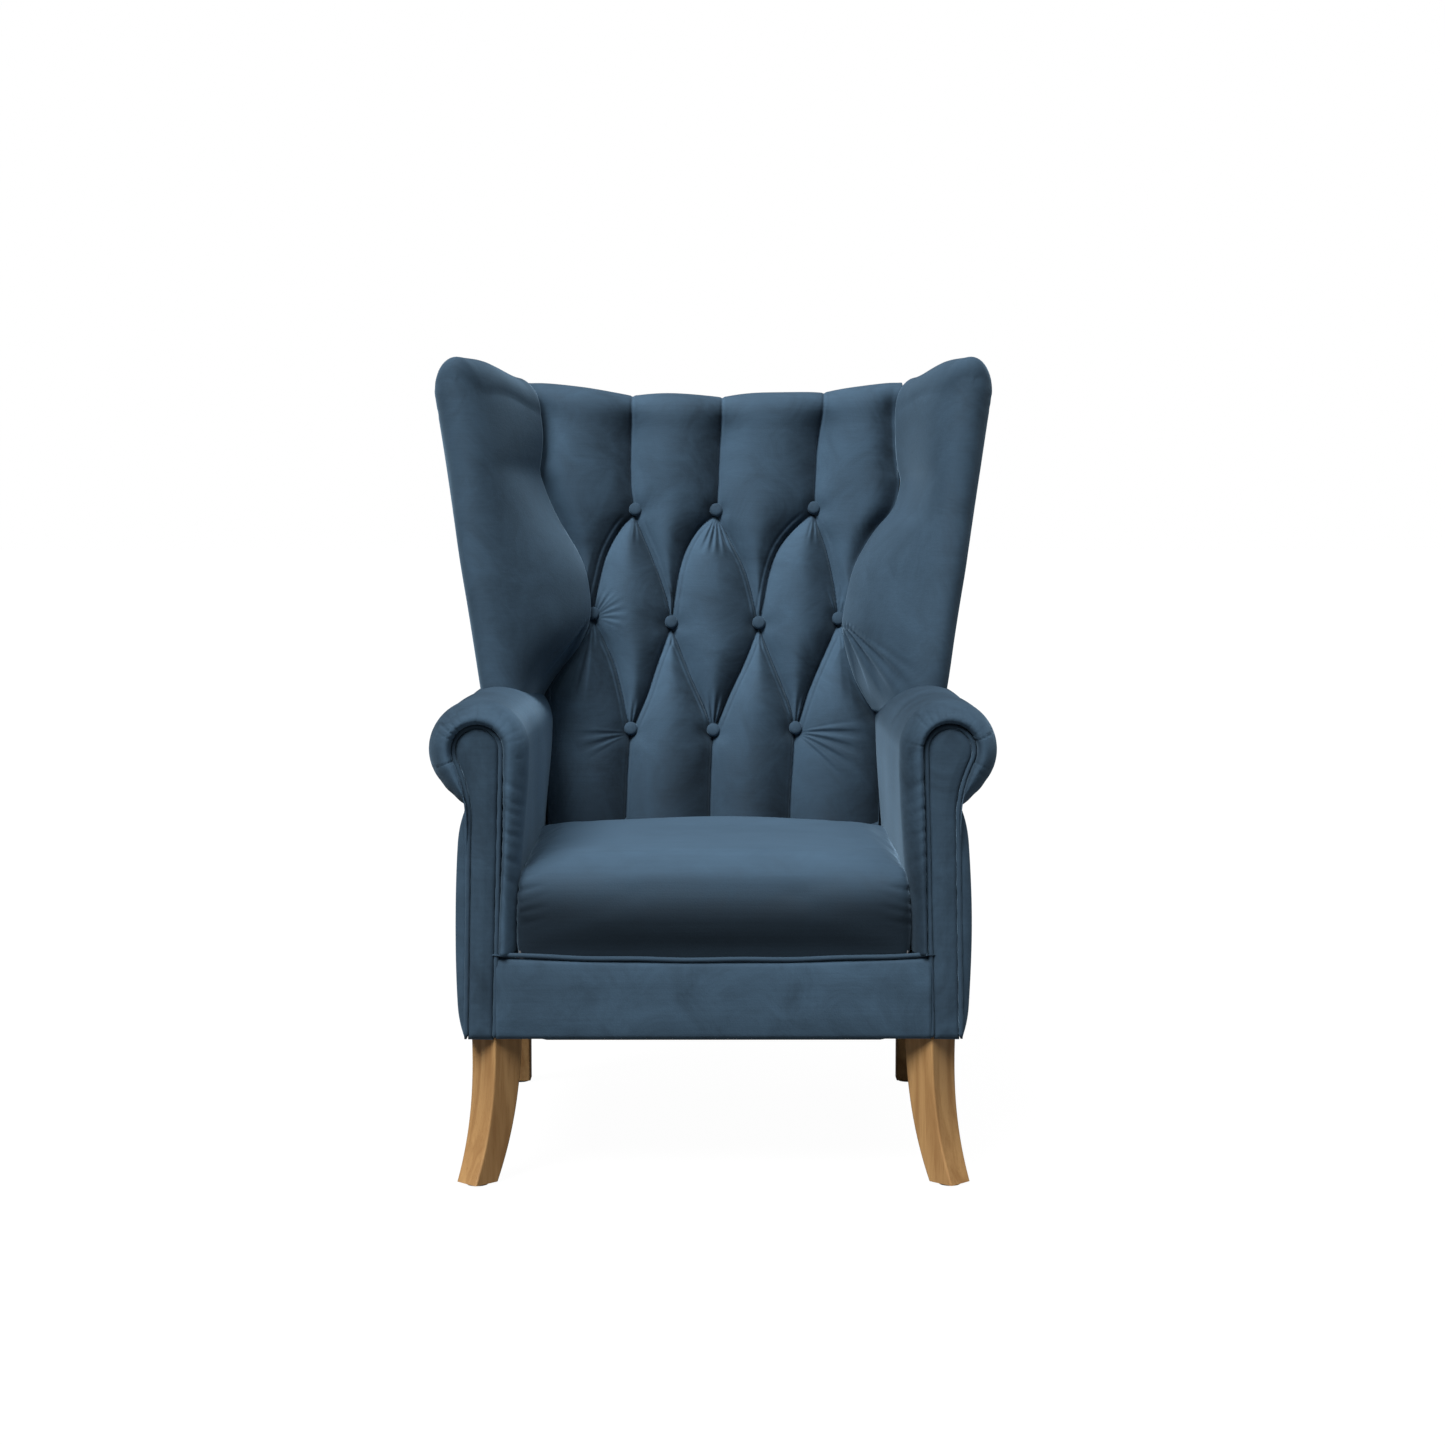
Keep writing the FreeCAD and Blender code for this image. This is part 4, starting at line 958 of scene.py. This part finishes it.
# %% [markdown]
# ## Arm facings and their piping
#
# A facing is a shaped board, thinly padded and covered, and nailed on last to hide the gathered
# cover's edge. Its face is slightly domed. The piping, a cord wrapped in velvet, runs all round it
# and is nipped between facing and arm, so it shows a bright ridge with a dark line each side.


# %% Facings
def make_facing(side, label):
    rows, across = 110, 25
    outline = facing_outline(0.0006, 600)
    apex = int(np.argmax(outline[:, 1]))
    inner = even_line(outline[: apex + 1], rows)
    outer = even_line(outline[apex:][::-1], rows)
    width = np.linalg.norm(inner - outer, axis=1)
    from_foot = np.linspace(0, np.ptp(outline[:, 1]), rows)
    rings = []
    for k in range(rows):
        t = np.linspace(0, 1, across)
        flat = inner[k] + (outer[k] - inner[k]) * t[:, None]
        edge = np.minimum(t, 1 - t) * width[k]
        edge = np.minimum(edge, np.minimum(from_foot[k], from_foot[-1] - from_foot[k]))
        round_over = np.sqrt(np.clip(1 - (1 - np.clip(edge / 0.006, 0, 1)) ** 2, 0, 1))
        dome = 0.0035 * np.clip(edge / 0.015, 0, 1) ** 0.8
        y = facing_high.y - 0.0015 - 0.0050 * round_over - dome
        front = np.column_stack([flat[:, 0] * side, y, flat[:, 1]])
        back = front.copy()
        back[:, 1] = facing_high.y - 0.0003
        rings.append(np.vstack([front, back[::-1]]))
    return skin(f"facing_{label}", np.array(rings))


def make_facing_piping(side, label):
    line = facing_outline(0.0031, 190, low=BASE + 0.003)
    y = facing_high.y - 0.0052
    points = np.column_stack([line[:, 0] * side, np.full(len(line), y), line[:, 1]])
    return tube(f"facing_piping_cord_{label}", points, 0.0030)


def crumple(size, pitch):
    """A push that makes a cover slightly uneven."""

    def amount(points, normals):
        x, y, z = points.T
        return size * np.sin(pitch * x + 2 * y * pitch + 1.3) * np.sin(pitch * 1.3 * z + 0.7)

    return amount


for side, label in BOTH:
    facing = make_facing(side, label)
    push(facing, crumple(0.0005, 41))
    dress(facing, FACING_VELVET, [f"arm_facing_{label}"])
    cord = make_facing_piping(side, label)
    push(cord, crumple(0.00025, 160))
    dress(cord, PIPING_VELVET, [f"facing_piping_{label}"])

# %% [markdown]
# ## Front border and its piping
#
# The border is a plain strip of velvet over thin wadding on the front rail. The seat's cover
# pulls its top edge, and the piping along it, into a shallow sag between the arms.


# %% Border
def seam_sag(x):
    """How far the seam under the seat hangs at x."""
    return 0.0065 * (1 - (np.abs(x) / 0.28) ** 2.2)


def make_border():
    half = border_high.x + 0.004
    front, back = border_low.y, border_high.y
    rings = []
    for a in np.linspace(-1, 1, 121):
        x = a * half
        top = border_high.z - 0.0015 - seam_sag(x)
        profile = []
        for t in np.linspace(0, 1, 37):
            edge = min(t, 1 - t) * 2
            puff = 0.0035 * (1 - (1 - min(edge * 1.6, 1)) ** 2)
            puff -= 0.004 * (1 - min(edge * 12, 1)) ** 2
            puff += 0.0006 * math.sin(9 * x * 10) * math.sin(3.1 * t)
            profile.append((x, front - puff, BASE + 0.0005 + t * (top - BASE)))
        profile += [(x, back, top), (x, back, BASE + 0.0005)]
        rings.append(profile)
    return skin("border", np.array(rings))


dress(make_border(), BORDER_VELVET, ["front_border"])

piping_low, piping_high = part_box("front_piping")
xs = np.linspace(-piping_high.x - 0.001, piping_high.x + 0.001, 130)
seam_line = np.column_stack(
    [
        xs,
        np.full(len(xs), (piping_low.y + piping_high.y) / 2 - 0.0015),
        (piping_low.z + piping_high.z) / 2 - seam_sag(xs) + 0.0005 * np.sin(47 * xs),
    ]
)
seam_cord = tube("border_piping_cord", seam_line, 0.0030)
dress(seam_cord, PIPING_VELVET, ["front_piping"])

# %% [markdown]
# ## The seat
#
# The seat is stuffed over the springs and runs down into the piped seam. Its crown is a broad
# arch, its front swells past the border and tucks under, and its front corners are pleated round.
# A stuffed block is what cloth simulation is good at: a rounded block is blown up from inside by
# a little pressure, with its underside and its rear held, and the result is kept as plain mesh.


# %% Seat block
def seat_block():
    """A rounded block, a little smaller than the seat will be, as rows across its width."""
    half = seat_high.x + 0.009
    front, back = seat_low.y + 0.007, seat_high.y - 0.002
    low, top = DECK + 0.001, SEAT_TOP - 0.012
    rings = []
    for a in np.linspace(-1, 1, 61):
        edge = 1 - abs(a)
        x = a * half
        shoulder = smooth_step(edge, 0, 0.045) ** 0.5
        drop = 0.003 * (1 - shoulder) + 0.008 * a * a
        inset = 0.004 * (1 - smooth_step(edge, 0, 0.04) ** 0.5)
        crown = top - drop
        nose = 0.036
        hem = low - 0.007 - seam_sag(x)
        points = [
            (front + inset + 0.006, hem - 0.013),
            (front + inset + 0.007, hem + 0.004),
            (front + inset + 0.004, hem + 0.036),
            (front + inset - 0.001, crown - nose - 0.016),
            (front + inset + 0.004, crown - nose * 0.55),
            (front + inset + 0.018, crown - nose * 0.16),
            (front + inset + 0.045, crown),
            (front + 0.16, crown + 0.010),
            (front + 0.28, crown + 0.010),
            (back - 0.05, crown + 0.009),
            (back - 0.008, crown + 0.003),
        ]
        line = tailor_line(points, 56)
        rear = even_line([(back, crown - 0.006), (back, low)], 10)
        under = even_line([(back, low), (front + 0.05, low), points[0]], 26)[1:-1]
        ring = np.vstack([line, rear, under])
        rings.append(np.column_stack([np.full(len(ring), x), ring]))
    return skin("seat", np.array(rings))


SEAT_CLOTH = {
    "quality": 6,
    "mass": 0.3,
    "tension_stiffness": 18,
    "compression_stiffness": 18,
    "shear_stiffness": 8,
    "bending_stiffness": 0.6,
    "use_pressure": True,
}


def blow_up(piece, voxel, pressure, frames, limit, hold):
    """Inflates a closed piece as cloth; hold(points) gives how firmly each point is held."""
    select_none()
    piece.select_set(True)
    apply_modifier(piece, "REMESH", mode="VOXEL", voxel_size=voxel)
    start = read(piece.data.vertices)
    group = piece.vertex_groups.new(name="held")
    firm = np.clip(hold(start), 0, 1)
    for level in np.unique(np.round(firm, 1)):
        members = np.flatnonzero(np.round(firm, 1) == level).tolist()
        if level > 0:
            group.add(members, float(level), "REPLACE")
    cloth = piece.modifiers.new("Cloth", "CLOTH")
    for key, value in SEAT_CLOTH.items():
        setattr(cloth.settings, key, value)
    cloth.settings.uniform_pressure_force = pressure
    cloth.settings.effector_weights.gravity = 0
    cloth.settings.vertex_group_mass = "held"
    cloth.collision_settings.use_collision = False
    cloth.point_cache.frame_start = 1
    cloth.point_cache.frame_end = frames
    for step in range(1, frames + 1):
        bpy.context.scene.frame_set(step)
    graph = bpy.context.evaluated_depsgraph_get()
    end = read(piece.evaluated_get(graph).to_mesh().vertices)
    piece.evaluated_get(graph).to_mesh_clear()
    piece.modifiers.remove(cloth)
    bpy.context.scene.frame_set(1)
    move = end - start
    far = np.linalg.norm(move, axis=1)
    scale = np.where(far > limit, limit / np.maximum(far, 1e-9), 1.0)
    moved = start + move * scale[:, None] * (1 - firm)[:, None]
    move_to(piece, moved)
    piece.vertex_groups.clear()
    return start, moved


seat = seat_block()


def seat_hold(points):
    x, y, z = points.T
    under = 1 - smooth_step(z, DECK - 0.004, DECK + 0.012)
    behind = smooth_step(y, seat_high.y - 0.03, seat_high.y - 0.01)
    return np.maximum(under, behind)


start, end = blow_up(seat, 0.007, 1.6, 14, 0.008, seat_hold)
print("seat swells by up to", round(float(np.linalg.norm(end - start, axis=1).max()), 4), "m")
apply_modifier(seat, "SMOOTH", factor=0.5, iterations=7)
apply_modifier(seat, "SUBSURF", levels=1, render_levels=1)


def seat_creases(points, normals):
    """Puckers at the two front corners, and slack ripples over the crown."""
    x, y, z = points.T
    corner = smooth_step(np.abs(x), 0.205, 0.245) * (1 - smooth_step(y, -0.32, -0.27))
    corner *= smooth_step(z, 0.32, 0.36) * (1 - smooth_step(z, 0.415, 0.428))
    pucker = np.cos(430 * z + 120 * np.abs(x)) + 0.6 * np.cos(270 * z + 3)
    height = -0.0013 * np.clip(pucker, 0, 2) * corner
    height += 0.0012 * np.sin(17 * x + 1) * np.sin(21 * y + 0.4)
    return height


push(seat, seat_creases)
for face in seat.data.polygons:
    face.use_smooth = True
dress(seat, SEAT_VELVET, ["seat_cushion"])

# %% [markdown]
# ## Outside panels
#
# The outsides of the arms, the wings and the back are panels of velvet over thin wadding, sewn or
# tacked at their edges, so each swells a little in its middle. Each is a closed sheet with a front
# and a back, made row by row between its two edges.


# %% Panels
def quilted_panel(name, corner_of, rows, columns, thick, puff, out, quick=6):
    """A closed sheet: corner_of(s, t) gives the inner face, out the way that it swells, and
    quick how soon it is at its full thickness from its front and rear edges."""
    out = np.array(out, float)
    rings = []
    for k in np.linspace(0, 1, columns):
        s = 0.5 - 0.5 * math.cos(math.pi * k)
        inner, outer = [], []
        for t in np.linspace(0, 1, rows):
            edge_s, edge_t = min(s, 1 - s), min(t, 1 - t)
            rise = (1 - (1 - min(edge_s * quick, 1)) ** 2) * (1 - (1 - min(edge_t * 7, 1)) ** 2)
            swell = min(edge_s * quick, 1) ** 0.5 * math.sin(math.pi * t) ** 0.7
            point = np.array(corner_of(s, t))
            inner.append(point)
            outer.append(point + out * (thick * (0.35 + 0.65 * rise) + puff * swell))
        rings.append(inner + outer[::-1])
    return skin(name, np.array(rings))


def outside_arm_at(side):
    def place(s, t):
        z = BASE + 0.0005 + t * (NOTCH_Z - BASE - 0.001)
        front = FACE + 0.0045
        y = front + s * (rear_y(z, ARM_REAR) - front)
        return side * (SIDE - 0.0075), y, z

    return place


def outside_wing_at(side):
    def place(s, t):
        low = 0.590 + 0.040 * (1 - s)
        share = 0.17 + 0.83 * s
        crown = float(wing_top(share)) - 0.040
        z = low + t * (crown - low)
        over = np.clip((z - crown + 0.030) / 0.070, 0, 1)
        drawn = 0.060 * (1 - math.sqrt(1 - over**2))
        tx, ty, rear = float(tip_x(z)), float(tip_y(z)), rear_y(z, ARM_REAR)
        first = (tx - 0.0065, ty + 0.060)
        x = first[0] + (SIDE - 0.0045 - first[0]) * s
        y = first[1] + (rear - first[1]) * s
        return side * (x - drawn), y, z

    return place


for side, label in BOTH:
    panel = quilted_panel(
        f"arm_outside_{label}", outside_arm_at(side), 50, 110, 0.0080, 0.0075, (side, 0, 0), 70
    )
    push(panel, crumple(0.0006, 23))
    dress(panel, VELVET, [f"outside_arm_{label}"])
    panel = quilted_panel(
        f"wing_outside_{label}", outside_wing_at(side), 70, 60, 0.0040, 0.003, (side, 0.2, 0)
    )
    push(panel, crumple(0.0005, 27))
    dress(panel, VELVET, [f"outside_wing_{label}"])


def outside_back_at(s, t):
    z = BASE + 0.0005 + t * (outback_high.z - BASE - 0.001)
    x = (2 * s - 1) * SIDE
    return x, rear_y(z, ARM_REAR), z


panel = quilted_panel(
    "back_outside", outside_back_at, 110, 90, 0.0060, 0.0070, (0, math.cos(0.138), 0)
)
push(panel, crumple(0.0007, 19))
dress(panel, VELVET, ["outside_back"])

# %% [markdown]
# ## Covered buttons
#
# A covered button is a metal mould with velvet drawn over it: a flat round with a domed face and
# a soft edge. One is modelled from a cylinder, and the ten are copies with their own mesh,
# each turned to the slope of the back and put where its node is.


# %% Buttons
def model_button():
    """One covered button, face up, at the origin."""
    select_none()
    bpy.ops.mesh.primitive_cylinder_add(vertices=40, radius=0.0098, depth=0.0060)
    button = bpy.context.object
    bpy.ops.object.mode_set(mode="EDIT")
    shape = bmesh.from_edit_mesh(button.data)
    for face in shape.faces:
        face.select = face.normal.z > 0.9
    shape.select_flush(True)
    bmesh.update_edit_mesh(button.data)
    for inset, lift in ((0.0016, 0.0014), (0.0022, 0.0008), (0.0026, 0.0004), (0.0020, 0.0001)):
        bpy.ops.mesh.inset(thickness=inset)
        bpy.ops.transform.translate(value=(0, 0, lift))
    bpy.ops.object.mode_set(mode="OBJECT")
    apply_modifier(button, "BEVEL", width=0.0012, segments=3, angle_limit=math.radians(30))
    bpy.ops.object.shade_smooth()
    return button


def place_button(master, name, number):
    low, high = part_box(name)
    centre = (low + high) / 2
    copy = master.copy()
    copy.data = master.data.copy()
    copy.name = f"button_{number:02d}"
    bpy.context.scene.collection.objects.link(copy)
    turn = math.radians(90) - math.atan(INSIDE_LEAN)
    x, y, z = read(copy.data.vertices).T
    ny = y * math.cos(turn) - z * math.sin(turn)
    nz = y * math.sin(turn) + z * math.cos(turn)
    sunk = 0.006  # how far a button sits behind its node
    move_to(copy, np.column_stack([x + centre.x, ny + centre.y + sunk, nz + centre.z]))
    return copy


master = model_button()
button_nodes = sorted(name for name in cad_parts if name.startswith("back_button"))
for number, name in enumerate(button_nodes, start=1):
    button = place_button(master, name, number)
    dress(button, VELVET, [name])
bpy.data.objects.remove(master)

# %% [markdown]
# ## Oak, and the hidden frame
#
# The legs are oiled oak with straight grain that runs down the leg, darker pores and a few
# flecks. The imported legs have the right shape, so they only get a material. The frame inside is
# rough beech and plywood, and the springs, felt, webbing and twine get plain workshop finishes.


# %% The grain group
GRAIN = make_group(
    "Wood grain",
    {"Light": "Color", "Dark": "Color"},
    {"Color": "Color", "Roughness": "Float", "Height": "Float"},
    {
        "place": ("TexCoord", {}),
        "long": ("Mapping", {"Scale": (60, 60, 5)}),
        "rings": ("TexNoise", {"Scale": 1.0, "Detail": 4.0, "Distortion": 0.9}),
        "thin": ("Mapping", {"Scale": (900, 900, 22)}),
        "pores": ("TexNoise", {"Scale": 1.0, "Detail": 2.0}),
        "band": ("MapRange", {"From Min": 0.33, "From Max": 0.67}),
        "speck": ("MapRange", {"From Min": 0.56, "From Max": 0.72, "To Max": 0.45}),
        "total": ("Math", {"operation": "ADD", "use_clamp": True}),
        "colour": ("Mix", {"data_type": "RGBA"}),
        "rough": ("MapRange", {"To Min": 0.42, "To Max": 0.62}),
    },
    """
    place.Object > long.Vector
    long.Vector > rings.Vector
    place.Object > thin.Vector
    thin.Vector > pores.Vector
    rings.Fac > band.Value
    pores.Fac > speck.Value
    band.Result > total.0
    speck.Result > total.1
    total.Value > colour.0
    in.Light > colour.6
    in.Dark > colour.7
    colour.2 > out.Color
    total.Value > rough.Value
    rough.Result > out.Roughness
    total.Value > out.Height
    """,
)


print("grain group:", len(GRAIN.nodes), "nodes")


# %% Woods and workshop finishes
def make_wood(name, light, dark):
    grain = {"node_tree": GRAIN, "Light": (*light, 1), "Dark": (*dark, 1)}
    bump = {"Strength": 0.25, "Distance": 0.0004, "invert": True}
    nodes = {"finish": ("Group", grain), "bump": ("Bump", bump)}
    return make_material(name, {}, nodes, FINISH_WIRES)


def make_rough(name, first, second, pitch, roughness=0.8, metallic=0.0):
    """A plain workshop finish: two close colours mottled by noise, with a little relief."""
    return make_material(
        name,
        {"Roughness": roughness, "Metallic": metallic},
        {
            "place": ("TexCoord", {}),
            "noise": ("TexNoise", {"Scale": pitch, "Detail": 3.0}),
            "spread": ("MapRange", {"From Min": 0.35, "From Max": 0.65}),
            "colour": ("Mix", {"data_type": "RGBA", 6: (*first, 1), 7: (*second, 1)}),
            "bump": ("Bump", {"Strength": 0.2, "Distance": 0.0005}),
        },
        """
        place.Object > noise.Vector
        noise.Fac > spread.Value
        spread.Result > colour.0
        colour.2 > shader.Base Color
        noise.Fac > bump.Height
        bump.Normal > shader.Normal
        """,
    )


OAK = make_wood("Oiled oak", (0.45, 0.262, 0.105), (0.30, 0.155, 0.053))
BEECH = make_wood("Rough beech", (0.62, 0.44, 0.27), (0.50, 0.33, 0.19))
PLY = make_wood("Plywood", (0.66, 0.50, 0.32), (0.55, 0.39, 0.23))
STEEL = make_rough("Steel", (0.42, 0.42, 0.43), (0.30, 0.30, 0.31), 160, 0.35, 1.0)
FELT = make_rough("Felt", (0.10, 0.10, 0.11), (0.16, 0.16, 0.17), 500, 0.95)
WEB = make_rough("Webbing", (0.28, 0.22, 0.15), (0.18, 0.14, 0.09), 300, 0.9)
TWINE = make_rough("Twine", (0.50, 0.44, 0.34), (0.38, 0.32, 0.23), 800, 0.9)
LINING = make_rough("Lining", (0.020, 0.021, 0.023), (0.035, 0.036, 0.038), 700, 0.95)

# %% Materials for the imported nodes
NODE_FINISH = {
    "front_leg": OAK,
    "rear_leg": OAK,
    "wing_board": PLY,
    "leg_glides": FELT,
    "leg_bolts": STEEL,
    "seat_springs": STEEL,
    "spring_clips": STEEL,
    "seat_deck_pad": FELT,
    "back_webbing": WEB,
    "button_twines": TWINE,
    "dust_cover": LINING,
}
for name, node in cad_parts.items():
    finish = next((m for start, m in NODE_FINISH.items() if name.startswith(start)), BEECH)
    if node.hide_render:
        finish = VELVET
    if not node.data.materials:
        node.data.materials.append(None)
    for k in range(len(node.data.materials)):
        node.data.materials[k] = finish
print("finished nodes:", len(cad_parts))

# %% [markdown]
# ## Floor, light and camera
#
# The floor is plain and pale, and so is what lies behind it. A soft key light comes from high in
# front and a little from the left, and a broader one from overhead. The floor shows paler than
# the light on it makes it, so no horizon is seen. The camera stands level, low and well back,
# square to the chair, with its frame shifted down, which keeps upright lines upright.


# %% Stage
def make_stage():
    select_none()
    bpy.ops.mesh.primitive_plane_add(size=400)
    floor = bpy.context.object
    floor.name = "floor"
    pale = make_material(
        "Pale floor",
        {"Base Color": (0.14, 0.14, 0.14, 1), "Roughness": 0.9, "Specular IOR Level": 0.1},
        {
            "lit": ("Emission", {"Strength": 1.36}),
            "eye": ("LightPath", {}),
            "share": ("Math", {"operation": "MULTIPLY", 1: 0.72}),
            "mix": ("MixShader", {}),
        },
        """
        eye.Is Camera Ray > share.0
        share.Value > mix.0
        shader.BSDF > mix.1
        lit.Emission > mix.2
        mix.Shader > surface.Surface
        """,
    )
    floor.data.materials.append(pale)


def make_sun(name, towards, strength, spread):
    """An even light from far away in the direction towards, spread over so many degrees."""
    data = bpy.data.lights.new(name, "SUN")
    data.energy = strength
    data.angle = math.radians(spread)
    light = bpy.data.objects.new(name, data)
    light.location = Vector(towards) * 4
    light.rotation_euler = Vector(towards).to_track_quat("Z", "Y").to_euler()
    bpy.context.scene.collection.objects.link(light)


make_stage()
make_sun("key", (-0.34, -0.60, 0.80), 3.9, 28)
make_sun("overhead", (0.08, -0.25, 1.0), 1.6, 60)

world = bpy.data.worlds.new("Studio")
world.use_nodes = True
bpy.context.scene.world = world
sky = world.node_tree
WHITE = (1, 1, 1, 1)
put(sky.nodes["Background"], {"Color": WHITE, "Strength": 0.10})
wire(
    sky,
    {"light": sky.nodes["Background"], "surface": sky.nodes["World Output"]},
    {
        "seen": ("Background", {"Color": WHITE, "Strength": 1.0}),
        "eye": ("LightPath", {}),
        "choose": ("MixShader", {}),
    },
    """
    eye.Is Camera Ray > choose.0
    light.Background > choose.1
    seen.Background > choose.2
    choose.Shader > surface.Surface
    """,
)

# %% Camera
camera_data = bpy.data.cameras.new("camera")
camera_data.lens = 63.4
camera_data.sensor_width = 36
camera_data.shift_y = -0.1263
camera = bpy.data.objects.new("camera", camera_data)
camera.location = (0, -3.657, 0.838)
camera.rotation_euler = (math.radians(90), 0, math.radians(-0.2))
bpy.context.scene.collection.objects.link(camera)
bpy.context.scene.camera = camera
bpy.context.scene.view_settings.view_transform = "Standard"
bpy.context.scene.view_settings.look = "None"
